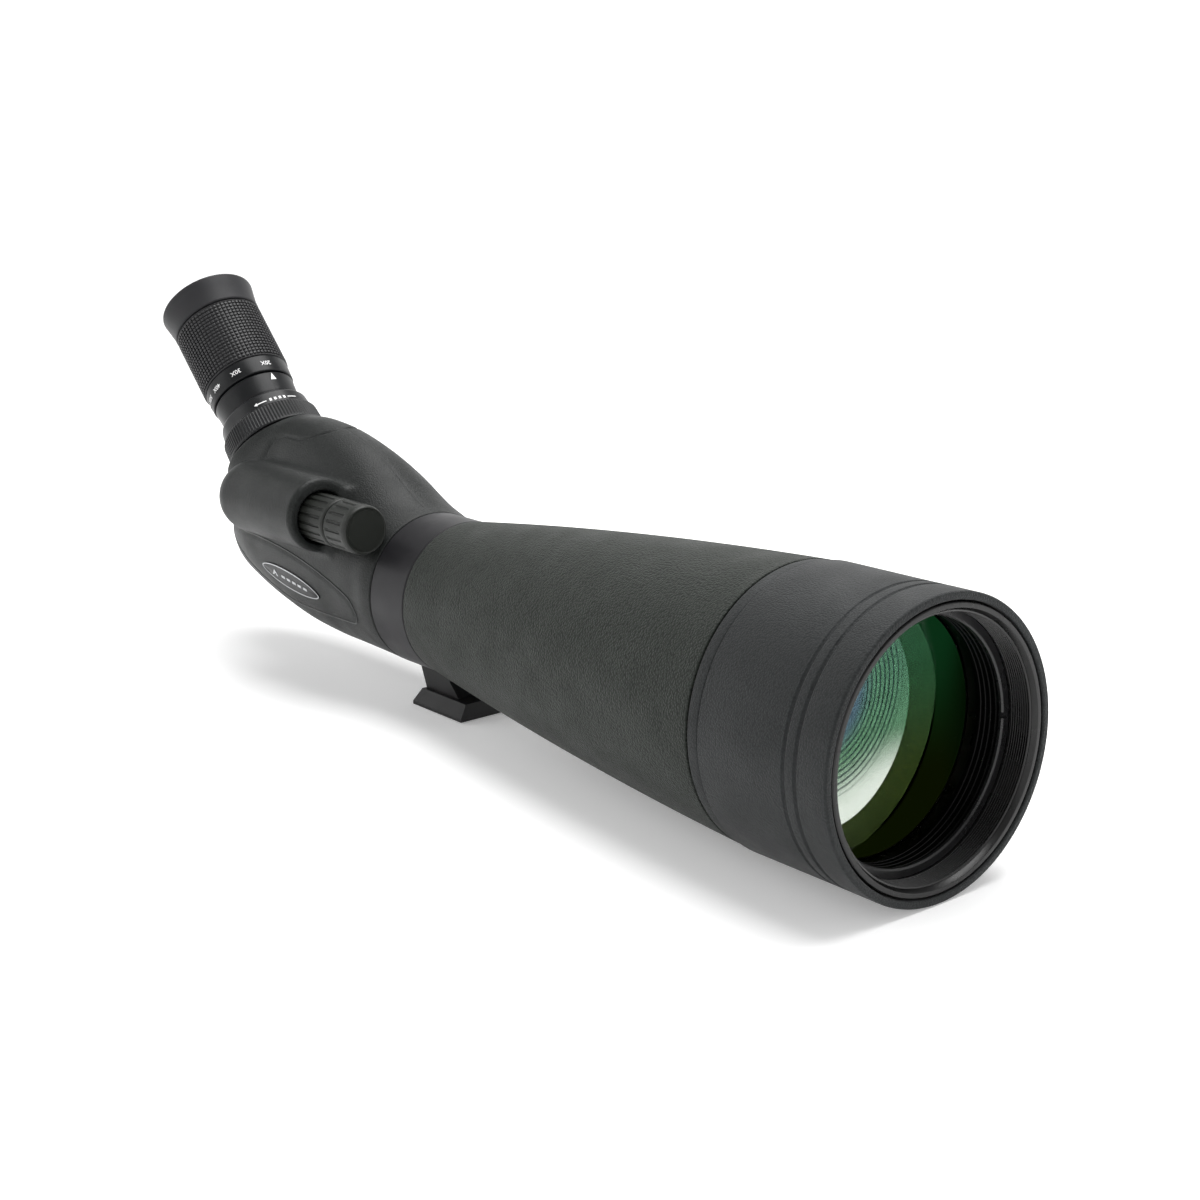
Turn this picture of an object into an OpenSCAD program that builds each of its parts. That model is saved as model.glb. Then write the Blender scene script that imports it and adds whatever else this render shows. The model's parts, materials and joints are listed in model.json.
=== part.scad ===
// Angled spotting scope: a folding-prism telescope with a zoom eyepiece,
// a sliding sunshade, a two-speed focus drive and a rotating tripod collar.
// The origin is the tripod socket in the foot's underside. +X points to the
// objective, +Y to the scope's left and +Z up. The optical axis is parallel to X.

/* [Layout] */
// Height of the optical axis above the foot's underside
axis_z = 54; // [53:0.5:56]
// Distance from the tripod socket to the front rim
rim_x = 306; // [305:0.5:308]
// Distance from the tripod socket back to the point where the axis folds
fold_x = 116; // [115.5:0.5:116.5]

/* [Sunshade and objective] */
// Outer radius of the sunshade
shade_r = 59.3; // [59:0.1:60]
// Bore radius of the sunshade
shade_bore_r = 55.9; // [55.9:0.05:56]
// Length of the sunshade
shade_len = 67.4; // [66:0.2:67.4]
// Outer radius of the front barrel that the sunshade slides on
barrel_r = 55.3; // [55.2:0.05:55.3]
// Radius of the objective glass
lens_r = 50.1; // [49.5:0.1:50.1]
// Clear radius that the cell leaves open
clear_r = 47.5; // [46:0.5:48]

/* [Main tube] */
// Outer radius of the rubber armour behind the sunshade
armor_front_r = 58.3; // [58:0.1:58.5]
// Outer radius of the rubber armour at the collar
armor_rear_r = 37.4; // [37:0.1:37.8]
// Thickness of the rubber armour
armor_t = 1.8; // [1.6:0.1:2]
// Wall thickness of the aluminium tube
tube_wall = 1.8; // [1.6:0.1:2]
// Outward bow of the tube's profile at mid length
tube_bow = 2.3; // [1.5:0.1:2.6]

/* [Tripod collar and foot] */
// Outer radius of the collar ring
collar_r = 37.3; // [37:0.1:37.5]
// Bore radius of the collar ring
collar_bore_r = 34; // [34:0.1:34.2]
// Radius of the tube's neck that turns in the collar
neck_r = 33.5; // [33.4:0.05:33.5]
// Length of the foot's plate
foot_len = 41; // [40:1:42]
// Width of the foot's plate at its underside
foot_w = 36; // [32:1:40]
// Radius of the 1/4 inch tripod thread
socket_r = 3.175; // [3.1:0.005:3.2]

/* [Prism housing] */
// Wall thickness of the moulded housing
housing_wall = 2.8; // [2.6:0.1:2.8]
// Radius of the raised seat under the eyepiece
seat_r = 31.6; // [31:0.1:32]
// Distance of the seat's face from the fold point
seat_s = 69; // [68.5:0.1:69]

/* [Focus drive] */
// Sideways offset of the focus shaft from the optical axis
focus_y = 38; // [38:0.5:39]
// Height of the focus shaft above the optical axis
focus_z = 35; // [35:0.5:36]
// Radius of the two focus knobs
knob_r = 12; // [11.5:0.1:12]

/* [Eyepiece] */
// Radius of the ribbed zoom grip
grip_r = 24.3; // [24:0.1:24.6]
// Radius of the flared top of the eyecup
cup_r = 26.2; // [25.8:0.1:26.5]
// Radius of the push-fit nose, a 1.25 inch barrel
nose_r = 15.85; // [15.8:0.01:15.85]

/* [Hidden] */
$fn = 96;

black = "#17181a";
armor_green = "#3f4541";
glass_green = "#4f8f6a";

// clearance of a running fit, on the radius
running = 0.07;

// stations along the optical axis
shade_rear_x = rim_x - shade_len;
band_front_x = shade_rear_x - 0.8;
band_rear_x = band_front_x - 5.8;
armor_front_x = band_rear_x - 0.8;
armor_rear_x = 6.6;
collar_front_x = 5.9;
collar_rear_x = -22;
neck_rear_x = -26;
housing_front_x = -22.6;
cell_rear_x = rim_x - 48;
ring_x = rim_x - 15;
glass_seat_x = cell_rear_x + 4;

// stations of the focus drive, along its shaft
boss_rear_x = -126.5;
boss_front_x = -61;
cavity_rear_x = -139;
cavity_front_x = -78;
pocket_x = -74;
coarse_rear_x = -70.5;
coarse_front_x = -41.4;
fine_rear_x = -40.6;
fine_front_x = -20.8;
nut_x = -98;

// stations of the eyepiece, measured along its axis from the fold point
nose_s = 44;
shoulder_s = 71.3;
core_s = 73;
lock_top_s = 93;
index_top_s = 105.9;
scale_s = 106.5;
scale_top_s = 116.3;
grip_top_s = 155.6;
core_top_s = 158;
cup_s = 156.2;
cup_top_s = 172.2;
core_r = 15.55;
core_bore_r = 14.2;

function reversed(list) = [for (i = [len(list) - 1 : -1 : 0]) list[i]];

function armor_fraction(x) = (x - armor_rear_x) / (armor_front_x - armor_rear_x);
// radius of the armour's outside at x: a straight taper with a slight bow
function armor_radius(x) =
    armor_rear_r + (armor_front_r - armor_rear_r) * armor_fraction(x)
    + 4 * tube_bow * armor_fraction(x) * (1 - armor_fraction(x));
// armour profile as [radius, x] points, moved inward by inset
function armor_profile(inset, steps = 14) = [
    for (i = [0 : steps])
        let (x = armor_rear_x + (armor_front_x - armor_rear_x) * i / steps)
        [armor_radius(x) - inset, x]];

// depth of a spherical surface of the given curvature at radius r
function sag(r, curvature) = curvature - sqrt(curvature * curvature - r * r);
// half profile of a lens face at x; side is +1 for a face bulging to +X, -1 to -X
function lens_face(edge, x, curvature, side, steps = 8) = [
    for (i = [0 : steps])
        let (r = edge * i / steps)
        [r, x + side * (sag(edge, curvature) - sag(r, curvature))]];

// a profile of [radius, x] points turned about the optical axis
module turned(points) {
    translate([0, 0, axis_z])
        rotate([0, 90, 0])
            rotate_extrude()
                polygon(points);
}

module ring(x0, x1, inner, outer) {
    turned([[inner, x0], [outer, x0], [outer, x1], [inner, x1]]);
}

// a rod parallel to the optical axis, at [y, z] measured from it
module rod(place, x0, x1, r) {
    translate([x0, place[0], axis_z + place[1]])
        rotate([0, 90, 0])
            cylinder(r = r, h = x1 - x0);
}

focus_place = [-focus_y, focus_z];

// a profile of [radius, x] points turned about the focus shaft
module turned_focus(points) {
    translate([0, -focus_y, focus_z])
        turned(points);
}

module focus_ring(x0, x1, inner, outer) {
    turned_focus([[inner, x0], [outer, x0], [outer, x1], [inner, x1]]);
}

// moves children onto the eyepiece axis, with +Z along that axis
module on_eyepiece(s = 0) {
    translate([-fold_x, 0, axis_z])
        rotate([0, -45, 0])
            translate([0, 0, s])
                children();
}

// a profile of [radius, s] points turned about the eyepiece axis
module turned_eyepiece(points) {
    on_eyepiece()
        rotate_extrude()
            polygon(points);
}

module eyepiece_ring(s0, s1, inner, outer) {
    turned_eyepiece([[inner, s0], [outer, s0], [outer, s1], [inner, s1]]);
}

// an outline in the plane of X and height above the axis, as wide as width
module upright(width, points, y = 0) {
    translate([0, y + width / 2, axis_z])
        rotate([90, 0, 0])
            linear_extrude(width)
                polygon(points);
}

// ---------- tripod collar ----------
clamp_x = -8;
clamp_boss_y = 43;
clamp_bore_r = 2.55;
foot_screw_x = -9;
foot_screw_y = 5.5;

module clamp_axis(y) {
    translate([clamp_x, y, axis_z])
        rotate([-90, 0, 0])
            children();
}

module foot_screw_places() {
    for (side = [-1, 1])
        translate([foot_screw_x, side * foot_screw_y, 0])
            children();
}

module tripod_collar() {
    color("#2b2a2e")
    difference() {
        union() {
            turned([
                [collar_bore_r, collar_rear_x],
                [collar_r - 0.5, collar_rear_x],
                [collar_r, collar_rear_x + 0.5],
                [collar_r, collar_front_x - 0.5],
                [collar_r - 0.5, collar_front_x],
                [collar_bore_r, collar_front_x]]);
            difference() {
                clamp_axis(collar_bore_r - 4)
                    cylinder(r = 7, h = clamp_boss_y - collar_bore_r + 4);
                ring(-30, 30, 0, collar_bore_r + 0.5);
            }
        }
        clamp_axis(20)
            cylinder(r = clamp_bore_r, h = 30);
        foot_screw_places()
            translate([0, 0, 12])
                cylinder(r = 1.65, h = 7.6);
    }
}

module collar_liner() {
    color("#d8d6cc")
    difference() {
        ring(collar_rear_x + 1, collar_front_x - 1, neck_r + running, collar_bore_r);
        clamp_axis(20)
            cylinder(r = clamp_bore_r, h = 20);
    }
}

module clamp_pad() {
    color("#e8e4d0")
    clamp_axis(neck_r + 0.15)
        cylinder(r = clamp_bore_r - 0.1, h = 2.3);
}

module clamp_screw() {
    color("silver")
    clamp_axis(neck_r + 2.8)
        cylinder(r = clamp_bore_r - running, h = 14);
}

module clamp_knob() {
    color(black)
    difference() {
        union() {
            clamp_axis(clamp_boss_y + 0.6)
                cylinder(r = 5, h = 2);
            clamp_axis(clamp_boss_y + 2.4)
                cylinder(r = 9.5, h = 8.6);
        }
        clamp_axis(neck_r + 2.7)
            cylinder(r = clamp_bore_r - running, h = 14.1);
        for (i = [0 : 9])
            clamp_axis(clamp_boss_y + 2)
                rotate(i * 36)
                    translate([10.6, 0, 0])
                        cylinder(r = 2, h = 10);
    }
}

// ---------- foot ----------
plate_t = 8;
foot_rear_x = -19;
neck_half_y = 12;
index_hole_x = -14.5;
insert_r = 5;

module foot_plate() {
    half_w = foot_w / 2;
    front = foot_rear_x + foot_len;
    intersection() {
        translate([foot_rear_x, 0, 0])
            rotate([90, 0, 90])
                linear_extrude(foot_len)
                    polygon([
                        [-half_w, 0], [half_w, 0], [half_w, 1.5],
                        [half_w - 3.5, plate_t], [3.5 - half_w, plate_t], [-half_w, 1.5]]);
        translate([0, 30, 0])
            rotate([90, 0, 0])
                linear_extrude(60)
                    polygon([
                        [foot_rear_x, 0], [front, 0], [front, 1.5], [front - 0.6, plate_t],
                        [foot_rear_x + 3.5, plate_t], [foot_rear_x, 1.5]]);
    }
}

module tripod_foot() {
    color(black)
    difference() {
        union() {
            foot_plate();
            difference() {
                translate([0, neck_half_y, 0])
                    rotate([90, 0, 0])
                        linear_extrude(2 * neck_half_y)
                            polygon([
                                [-15, plate_t - 1], [13, plate_t - 1],
                                [collar_front_x - 1, 15], [collar_front_x - 1, 22],
                                [collar_rear_x + 1, 22]]);
                ring(-40, 40, 0, collar_r);
            }
        }
        translate([0, 0, -1])
            cylinder(r = insert_r, h = 10);
        translate([index_hole_x, 0, -1])
            cylinder(r = 2.3, h = 5.5);
        foot_screw_places() {
            translate([0, 0, -1])
                cylinder(r = 3.3, h = 5.2);
            cylinder(r = 1.65, h = 25);
        }
    }
}

module thread_insert() {
    color("goldenrod")
    difference() {
        cylinder(r = insert_r, h = 9);
        translate([0, 0, -1])
            cylinder(r = socket_r, h = 9.5);
    }
}

module foot_screws() {
    color("silver")
    foot_screw_places() {
        difference() {
            translate([0, 0, 1.4])
                cylinder(r = 3.1, h = 2.8);
            translate([0, 0, 1])
                cylinder(r = 1.4, h = 2, $fn = 6);
        }
        translate([0, 0, 4.2])
            cylinder(r = 1.6, h = 15);
    }
}

// ---------- main tube ----------
module main_tube() {
    color("#6d6f72")
    turned(concat(
        [[neck_r, neck_rear_x], [neck_r, 6.2], [armor_radius(armor_rear_x) - armor_t, 6.2]],
        armor_profile(armor_t),
        [
            [barrel_r + 0.9, armor_front_x + 0.2],
            [barrel_r + 0.9, band_front_x],
            [barrel_r, band_front_x],
            [barrel_r, rim_x - 6.4],
            [barrel_r - 3, rim_x - 6.4],
            [barrel_r - 3, cell_rear_x - 6]],
        reversed([
            for (p = armor_profile(armor_t + tube_wall))
                if (p[0] < barrel_r - 3) p]),
        [[neck_r - 2.5, armor_rear_x - 4], [neck_r - 2.5, neck_rear_x]]));
}

module tube_armor() {
    color(armor_green)
    turned(concat(armor_profile(0), reversed(armor_profile(armor_t))));
}

module front_band() {
    color(armor_green)
    turned([
        [barrel_r + 0.9, band_rear_x], [armor_front_r - 0.5, band_rear_x],
        [armor_front_r, band_rear_x + 0.5], [armor_front_r, band_front_x - 0.6],
        [armor_front_r - 0.6, band_front_x], [barrel_r + 0.9, band_front_x]]);
}

// knife-edged rings that stop stray light, each as [x, open radius]
baffle_rings = [[60, 32.5], [130, 38.5], [200, 45]];

module tube_baffles() {
    color("#111111")
    for (b = baffle_rings) {
        outer = min(
            armor_radius(b[0] - 1.2) - armor_t - tube_wall - 0.4,
            barrel_r - 3.5);
        turned([
            [b[1], b[0]], [outer, b[0] - 1.2], [outer, b[0] + 1.2], [b[1], b[0] + 0.4]]);
    }
}

module shade_guides() {
    color("#0d0d0d")
    for (x = [rim_x - 19, rim_x - 10.5])
        ring(x, x + 3.5, barrel_r, shade_bore_r - running);
}

// ---------- objective ----------
front_edge_t = 4.5;
rear_edge_t = 11;
crown_x = glass_seat_x + rear_edge_t + 0.7;
o_ring_x = glass_seat_x + 14;

module objective_cell() {
    wall_r = barrel_r - 3.05;
    color("#141416")
    turned(concat(
        [
            [clear_r, cell_rear_x], [wall_r, cell_rear_x],
            [wall_r, o_ring_x], [wall_r - 0.9, o_ring_x],
            [wall_r - 0.9, o_ring_x + 1.6], [wall_r, o_ring_x + 1.6],
            [wall_r, rim_x - 6.3], [barrel_r, rim_x - 6.3],
            [barrel_r, rim_x - 0.9], [barrel_r - 0.5, rim_x - 0.4],
            [barrel_r - 2.2, rim_x - 0.4]],
        // rings of the filter thread in the mouth
        [for (x = [rim_x - 2.6 : -1.2 : ring_x + 3])
            each [[lens_r + 1.8, x], [lens_r + 1.35, x - 0.6]]],
        [
            [lens_r + 1.5, ring_x + 1.9], [lens_r + 1.5, ring_x - 0.2],
            [lens_r + 0.1, ring_x - 0.2], [lens_r + 0.1, glass_seat_x],
            [clear_r, glass_seat_x]]));
}

module objective_o_ring() {
    color("#0a0a0a")
    ring(o_ring_x + 0.1, o_ring_x + 1.5, barrel_r - 3.95, barrel_r - 3);
}

module objective_front_element() {
    color(glass_green, 0.5)
    turned(concat(
        lens_face(lens_r, crown_x, 300, -1),
        reversed(lens_face(lens_r, crown_x + front_edge_t, 300, 1))));
}

module lens_spacer() {
    color("#222222")
    ring(crown_x - 0.55, crown_x - 0.2, lens_r - 0.9, lens_r);
}

module objective_rear_element() {
    color(glass_green, 0.5)
    turned(concat(
        lens_face(lens_r, glass_seat_x + 0.1, 1200, -1),
        reversed(lens_face(lens_r, crown_x - 0.6, 280, -1))));
}

module lens_sleeve() {
    color("#101012")
    ring(crown_x + front_edge_t + 0.3, ring_x - 0.1, lens_r - 1.2, lens_r);
}

module retaining_ring() {
    color("#8c8d90")
    difference() {
        turned([
            [clear_r + 0.3, ring_x], [lens_r + 1.3, ring_x], [lens_r + 1.3, ring_x + 1.8],
            [clear_r + 1, ring_x + 1.8], [clear_r + 0.3, ring_x + 1.2]]);
        for (side = [-1, 1])
            translate([ring_x + 1.8, side * (clear_r + 0.9), axis_z])
                cube([1.6, 3, 2.4], center = true);
    }
}

module sunshade() {
    color(armor_green)
    turned([
        [shade_bore_r, shade_rear_x], [shade_r - 1.2, shade_rear_x],
        [shade_r - 0.2, shade_rear_x + 1],
        [shade_r - 0.2, rim_x - 22.3], [shade_r - 1, rim_x - 21.9],
        [shade_r - 1, rim_x - 21.1], [shade_r - 0.2, rim_x - 20.7],
        [shade_r - 0.2, rim_x - 16.3], [shade_r - 1, rim_x - 15.9],
        [shade_r - 1, rim_x - 15.1], [shade_r - 0.2, rim_x - 14.7],
        [shade_r, rim_x - 0.8], [shade_r - 0.5, rim_x], [shade_bore_r + 0.8, rim_x],
        [shade_bore_r, rim_x - 0.8]]);
}

// ---------- prism housing ----------
// stations of the housing, front to rear: [x, top, bottom, half width, narrowing],
// with heights from the optical axis and narrowing as the share lost at the top
housing_stations = [
    [housing_front_x, 37.3, -37.3, 37.3, 0],
    [-30, 40, -37, 37.6, 0],
    [-42, 46, -36.9, 38, 0.08],
    [-62, 57.8, -36.9, 38.6, 0.14],
    [-85, 66.2, -36.7, 38.8, 0.16],
    [-110, 71.3, -34.8, 38.8, 0.17],
    [-135, 71, -30, 38, 0.17],
    [-152, 58.8, -25, 35.5, 0.12],
    [-170, 40.5, -19.4, 29.5, 0.08],
    [-184, 27, -12.6, 21.5, 0.04],
    [-192, 19, -7, 14, 0],
    [-196.5, 12, 0, 6, 0]];
steps_between = 2;
points_round = 28;
last_station = len(housing_stations) - 1;

function station(i) = housing_stations[max(0, min(last_station, i))];
// smooth curve through the stations (Catmull-Rom), t from 0 to 1 after station i
function between(i, t) =
    0.5 * (2 * station(i)
        + t * (station(i + 1) - station(i - 1))
        + t * t * (2 * station(i - 1) - 5 * station(i) + 4 * station(i + 1) - station(i + 2))
        + t * t * t * (3 * station(i) - station(i - 1) - 3 * station(i + 1) + station(i + 2)));
function housing_rows() = concat(
    [for (i = [0 : last_station - 1], k = [0 : steps_between - 1])
        between(i, k / steps_between)],
    [station(last_station)]);

// x of a section drawn in by inset: the mouth moves out, the closed end moves in
function inset_x(x, inset) =
    x == housing_front_x ? x + inset : x + inset * pow(max(0, -x - 150) / 46.5, 2);

function section_points(s, inset) = [
    for (k = [0 : points_round - 1])
        let (
            a = 360 * k / points_round,
            top = s[1] - inset,
            bottom = s[2] + inset,
            z = (top + bottom) / 2 + (top - bottom) / 2 * sin(a),
            narrow = 1 - s[4] * (z - bottom) / (top - bottom),
            y = (s[3] - inset) * narrow * cos(a))
        [inset_x(s[0], inset), y, axis_z + z]];

// the housing's closed skin, drawn in by inset
module housing_skin(inset) {
    sections = [for (s = housing_rows()) section_points(s, inset)];
    n = points_round;
    last = len(sections) - 1;
    polyhedron(
        points = [for (s = sections) each s],
        faces = concat(
            [[for (k = [n - 1 : -1 : 0]) k]],
            [for (i = [0 : last - 1], k = [0 : n - 1])
                each [
                    [i * n + k, i * n + (k + 1) % n, (i + 1) * n + k],
                    [i * n + (k + 1) % n, (i + 1) * n + (k + 1) % n, (i + 1) * n + k]]],
            [[for (k = [0 : n - 1]) last * n + k]]));
}

boss_r = 18.5;
boss_bore_r = 15;
pocket_r = knob_r + 1.3;
bushing_r = 7;
seat_bore_r = 27.1;
screw_places = [[-100, -8], [-128, -8], [-128, 12]];

module housing_shell() {
    difference() {
        union() {
            difference() {
                union() {
                    housing_skin(0);
                    rod(focus_place, boss_rear_x, boss_front_x, boss_r);
                    translate([boss_rear_x, -focus_y, axis_z + focus_z])
                        sphere(r = boss_r);
                }
                housing_skin(housing_wall);
            }
            intersection() {
                housing_skin(0);
                rod(focus_place, cavity_front_x, -30, pocket_r + 2.2);
            }
            on_eyepiece(50)
                cylinder(r = seat_r, h = seat_s - 50);
        }
        on_eyepiece(20)
            cylinder(r = seat_bore_r, h = 60);
        rod(focus_place, cavity_rear_x, cavity_front_x, boss_bore_r);
        rod(focus_place, cavity_front_x - 1, pocket_x + 1, bushing_r);
        rod(focus_place, pocket_x, -10, pocket_r);
    }
}

// the strip along the spine that carries the eyepiece
module spine_zone() {
    translate([-220, -16, axis_z - 60])
        cube([122, 32, 150]);
    on_eyepiece(36)
        cylinder(r = seat_r + 1.4, h = 60);
}

module housing_right() {
    color(armor_green)
    difference() {
        intersection() {
            housing_shell();
            translate([-220, -80, axis_z - 60])
                cube([210, 80, 160]);
        }
        spine_zone();
    }
}

module housing_left() {
    color(armor_green)
    difference() {
        union() {
            difference() {
                intersection() {
                    housing_shell();
                    translate([-220, 0, axis_z - 60])
                        cube([210, 80, 160]);
                }
                spine_zone();
            }
            intersection() {
                housing_skin(housing_wall / 2);
                for (p = screw_places)
                    translate([p[0], 24, axis_z + p[1]])
                        rotate([-90, 0, 0])
                            cylinder(r = 5, h = 30);
            }
        }
        for (p = screw_places)
            translate([p[0], 20, axis_z + p[1]])
                rotate([-90, 0, 0]) {
                    cylinder(r = 1.6, h = 40);
                    translate([0, 0, 10])
                        cylinder(r = 3.1, h = 30);
                }
    }
}

module spine_cover() {
    color("#3a403c")
    intersection() {
        housing_shell();
        spine_zone();
    }
}

module housing_screws() {
    color("silver")
    for (p = screw_places)
        translate([p[0], 17, axis_z + p[1]])
            rotate([-90, 0, 0]) {
                cylinder(r = 1.5, h = 13.2);
                translate([0, 0, 13.1])
                    cylinder(r = 2.9, h = 2.2);
            }
}

// a leaf outline between two equal arcs
module badge_plate() {
    half_len = 27;
    half_w = 6;
    arc_r = (half_len * half_len + half_w * half_w) / (2 * half_w);
    color("#c9ccce")
    translate([-106, -33.2, axis_z - 6])
        rotate([104.5, 0, 0])
            rotate(-8)
                translate([0, 0, -0.8])
                    linear_extrude(1.8)
                        intersection() {
                            translate([0, arc_r - half_w])
                                circle(r = arc_r, $fn = 200);
                            translate([0, half_w - arc_r])
                                circle(r = arc_r, $fn = 200);
                        }
}

rod_places = [[26.5, -2], [-12, -25]];
rod_r = 2;
rod_pad_r = 3.5;

module tube_flange() {
    color("#55575a")
    difference() {
        turned([
            [24.2, -34], [32.2, -34], [33.1, -30], [33.1, neck_rear_x - 0.1],
            [31, neck_rear_x - 0.1], [31, -30], [24.2, -30]]);
        for (p = rod_places)
            rod(p, -36, -31, rod_r);
    }
}

// ---------- prism ----------
// outline of the prism beside the fold point: [x, height] from that point
prism_outline = [[21, -21], [21, 18], [0, 29.7], [-29, 0.7]];
prism_half = 16;
holder_x = 21.4 - fold_x;

module roof_prism() {
    roof_angle = atan2(21.7, -50);
    color("#a8d8c8", 0.5)
    intersection() {
        upright(2 * prism_half, [for (p = prism_outline) [p[0] - fold_x, p[1]]]);
        translate([21 - fold_x, 0, axis_z - 21])
            rotate([0, -roof_angle, 0])
                translate([-10, 0, 0])
                    rotate([90, 0, 90])
                        linear_extrude(80)
                            polygon([[0, 0], [-40, -40], [40, -40]]);
    }
}

module prism_holder() {
    color("#3a3b3d")
    difference() {
        union() {
            translate([holder_x, -19, axis_z - 24])
                cube([3, 38, 46]);
            translate([holder_x, 18, axis_z - 7])
                cube([3, 10, 9]);
            translate([holder_x, -14.5, axis_z - 27])
                cube([3, 6.5, 7]);
            for (p = rod_places)
                rod(p, holder_x, holder_x + 3, rod_pad_r);
            for (side = [-1, 1])
                upright(2.4, [
                    [holder_x - 51, -12], [holder_x + 1, -14],
                    [holder_x + 1, 21], [holder_x - 36, 21], [holder_x - 51, 4]],
                    side * (prism_half + 1.5));
        }
        rod([0, 0], holder_x - 1, holder_x + 4, 15.5);
        for (p = rod_places)
            rod(p, holder_x - 1, holder_x + 4, rod_r);
        for (p = screw_places)
            translate([p[0], 10, axis_z + p[1]])
                rotate([-90, 0, 0])
                    cylinder(r = 1.5, h = 20);
    }
}

module prism_clamp() {
    leg_y = prism_half + 3.2;
    color("#b8babd")
    union() {
        upright(2 * leg_y + 1, [[-110, 26.8], [-102, 22.35], [-101.5, 23.3], [-109.5, 27.75]]);
        for (side = [-1, 1])
            upright(1, [[-110, 10], [-102, 10], [-102, 22.6], [-109.6, 26.8]], side * leg_y);
    }
}

module guide_rods() {
    color("silver")
    for (p = rod_places)
        rod(p, holder_x + 0.5, -31.2, rod_r);
}

// ---------- focus drive ----------
shaft_r = 4;
screw_r = 3.8;
fine_shaft_r = 1.5;
carriage_ring_x = -78;
carriage_ring_len = 10;
cell_r = 20;

module focus_bushing() {
    color("goldenrod")
    focus_ring(-80, -73.5, shaft_r + running, bushing_r);
}

module coarse_shaft() {
    bore = fine_shaft_r + running;
    color("silver")
    turned_focus(concat(
        [[bore, -136], [screw_r - 0.5, -136]],
        // rounds of the lead screw
        [for (x = [-135 : 2 : -83]) each [[screw_r, x], [screw_r, x + 1], [screw_r - 0.5, x + 1.5]]],
        [
            [screw_r - 0.5, -80.8], [shaft_r, -80.4], [shaft_r, coarse_front_x - 4],
            [bore, coarse_front_x - 4]]));
}

// a knob with shallow square flutes along its rim
module fluted_knob(x0, x1, bore, flutes) {
    len = x1 - x0;
    difference() {
        turned_focus([
            [bore, x0], [knob_r - 0.8, x0], [knob_r, x0 + 0.8],
            [knob_r, x1 - 1.4], [knob_r - 1.4, x1], [bore, x1]]);
        for (i = [0 : flutes - 1])
            translate([x0 + 2, -focus_y, axis_z + focus_z])
                rotate([(i + 0.5) * 360 / flutes, 0, 0])
                    translate([0, -0.8, knob_r - 0.6])
                        cube([len - 4.5, 1.6, 2]);
    }
}

module coarse_knob() {
    color("#333a37")
    difference() {
        fluted_knob(coarse_rear_x, coarse_front_x, fine_shaft_r + running, 20);
        rod(focus_place, coarse_rear_x - 1, coarse_front_x - 4, shaft_r);
    }
}

module fine_shaft() {
    color("silver")
    rod(focus_place, -138, fine_front_x - 3, fine_shaft_r);
}

module fine_knob() {
    color("#333a37")
    difference() {
        fluted_knob(fine_rear_x, fine_front_x, 0.01, 20);
        rod(focus_place, fine_rear_x - 1, fine_front_x - 3, fine_shaft_r);
        rod(focus_place, fine_front_x - 1.5, fine_front_x + 1, knob_r - 2.4);
    }
}

module fine_knob_cap() {
    color("#2a302d")
    rod(focus_place, fine_front_x - 1.5, fine_front_x - 0.3, knob_r - 2.5);
}

module focus_nut() {
    color("goldenrod")
    focus_ring(nut_x, nut_x + 8, screw_r + running, 7);
}

module focus_carriage() {
    color("#8a8c90")
    difference() {
        union() {
            rod(focus_place, nut_x, nut_x + 8, 9.5);
            translate([nut_x, 0, axis_z])
                rotate([90, 0, 90])
                    linear_extrude(8)
                        polygon([
                            [-36, 30], [-31, 20], [-30, 1], [-27, 1], [-27, 15], [-30, 33]]);
            translate([nut_x, -30.5, axis_z + 1])
                cube([carriage_ring_x + carriage_ring_len - nut_x, 4, 13]);
            translate([carriage_ring_x, -30, axis_z + 2])
                cube([carriage_ring_len, 12, 10]);
            ring(carriage_ring_x, carriage_ring_x + carriage_ring_len, cell_r - 2, cell_r + 3);
            for (p = rod_places)
                rod(p, carriage_ring_x, carriage_ring_x + carriage_ring_len, rod_pad_r);
            translate([carriage_ring_x, 18, axis_z - 5])
                cube([carriage_ring_len, 9, 6]);
            translate([carriage_ring_x, -14, axis_z - 27])
                cube([carriage_ring_len, 5, 10]);
        }
        rod(focus_place, nut_x - 1, nut_x + 9, 7);
        rod([0, 0], carriage_ring_x - 1, carriage_ring_x + carriage_ring_len + 1, cell_r + running);
        for (p = rod_places)
            rod(p, carriage_ring_x - 1, carriage_ring_x + carriage_ring_len + 1, rod_r + running);
    }
}

module focus_lens_cell() {
    color("#161618")
    turned([
        [16.4, carriage_ring_x + 1.5], [cell_r, carriage_ring_x + 1.5],
        [cell_r, carriage_ring_x + 8.5], [17.4, carriage_ring_x + 8.5],
        [17.4, carriage_ring_x + 3], [16.4, carriage_ring_x + 3]]);
}

module focus_lens() {
    color(glass_green, 0.5)
    turned(concat(
        lens_face(17.3, carriage_ring_x + 3.1, 90, 1),
        reversed(lens_face(17.3, carriage_ring_x + 8.2, 90, -1))));
}

// ---------- eyepiece ----------
module eyepiece_seat() {
    color("#1d1e20")
    turned_eyepiece([
        [nose_r + 0.05, 52], [seat_bore_r - 0.1, 52], [seat_bore_r - 0.1, seat_s + 0.1],
        [28.6, seat_s + 0.1], [28.6, seat_s + 1.2], [28, seat_s + 1.7],
        [20, seat_s + 1.7], [20, seat_s + 0.8], [nose_r + 0.05, seat_s + 0.8]]);
}

module port_seal() {
    color("#0a0a0a")
    eyepiece_ring(seat_s + 0.85, seat_s + 2.25, nose_r + 0.1, 19.3);
}

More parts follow.
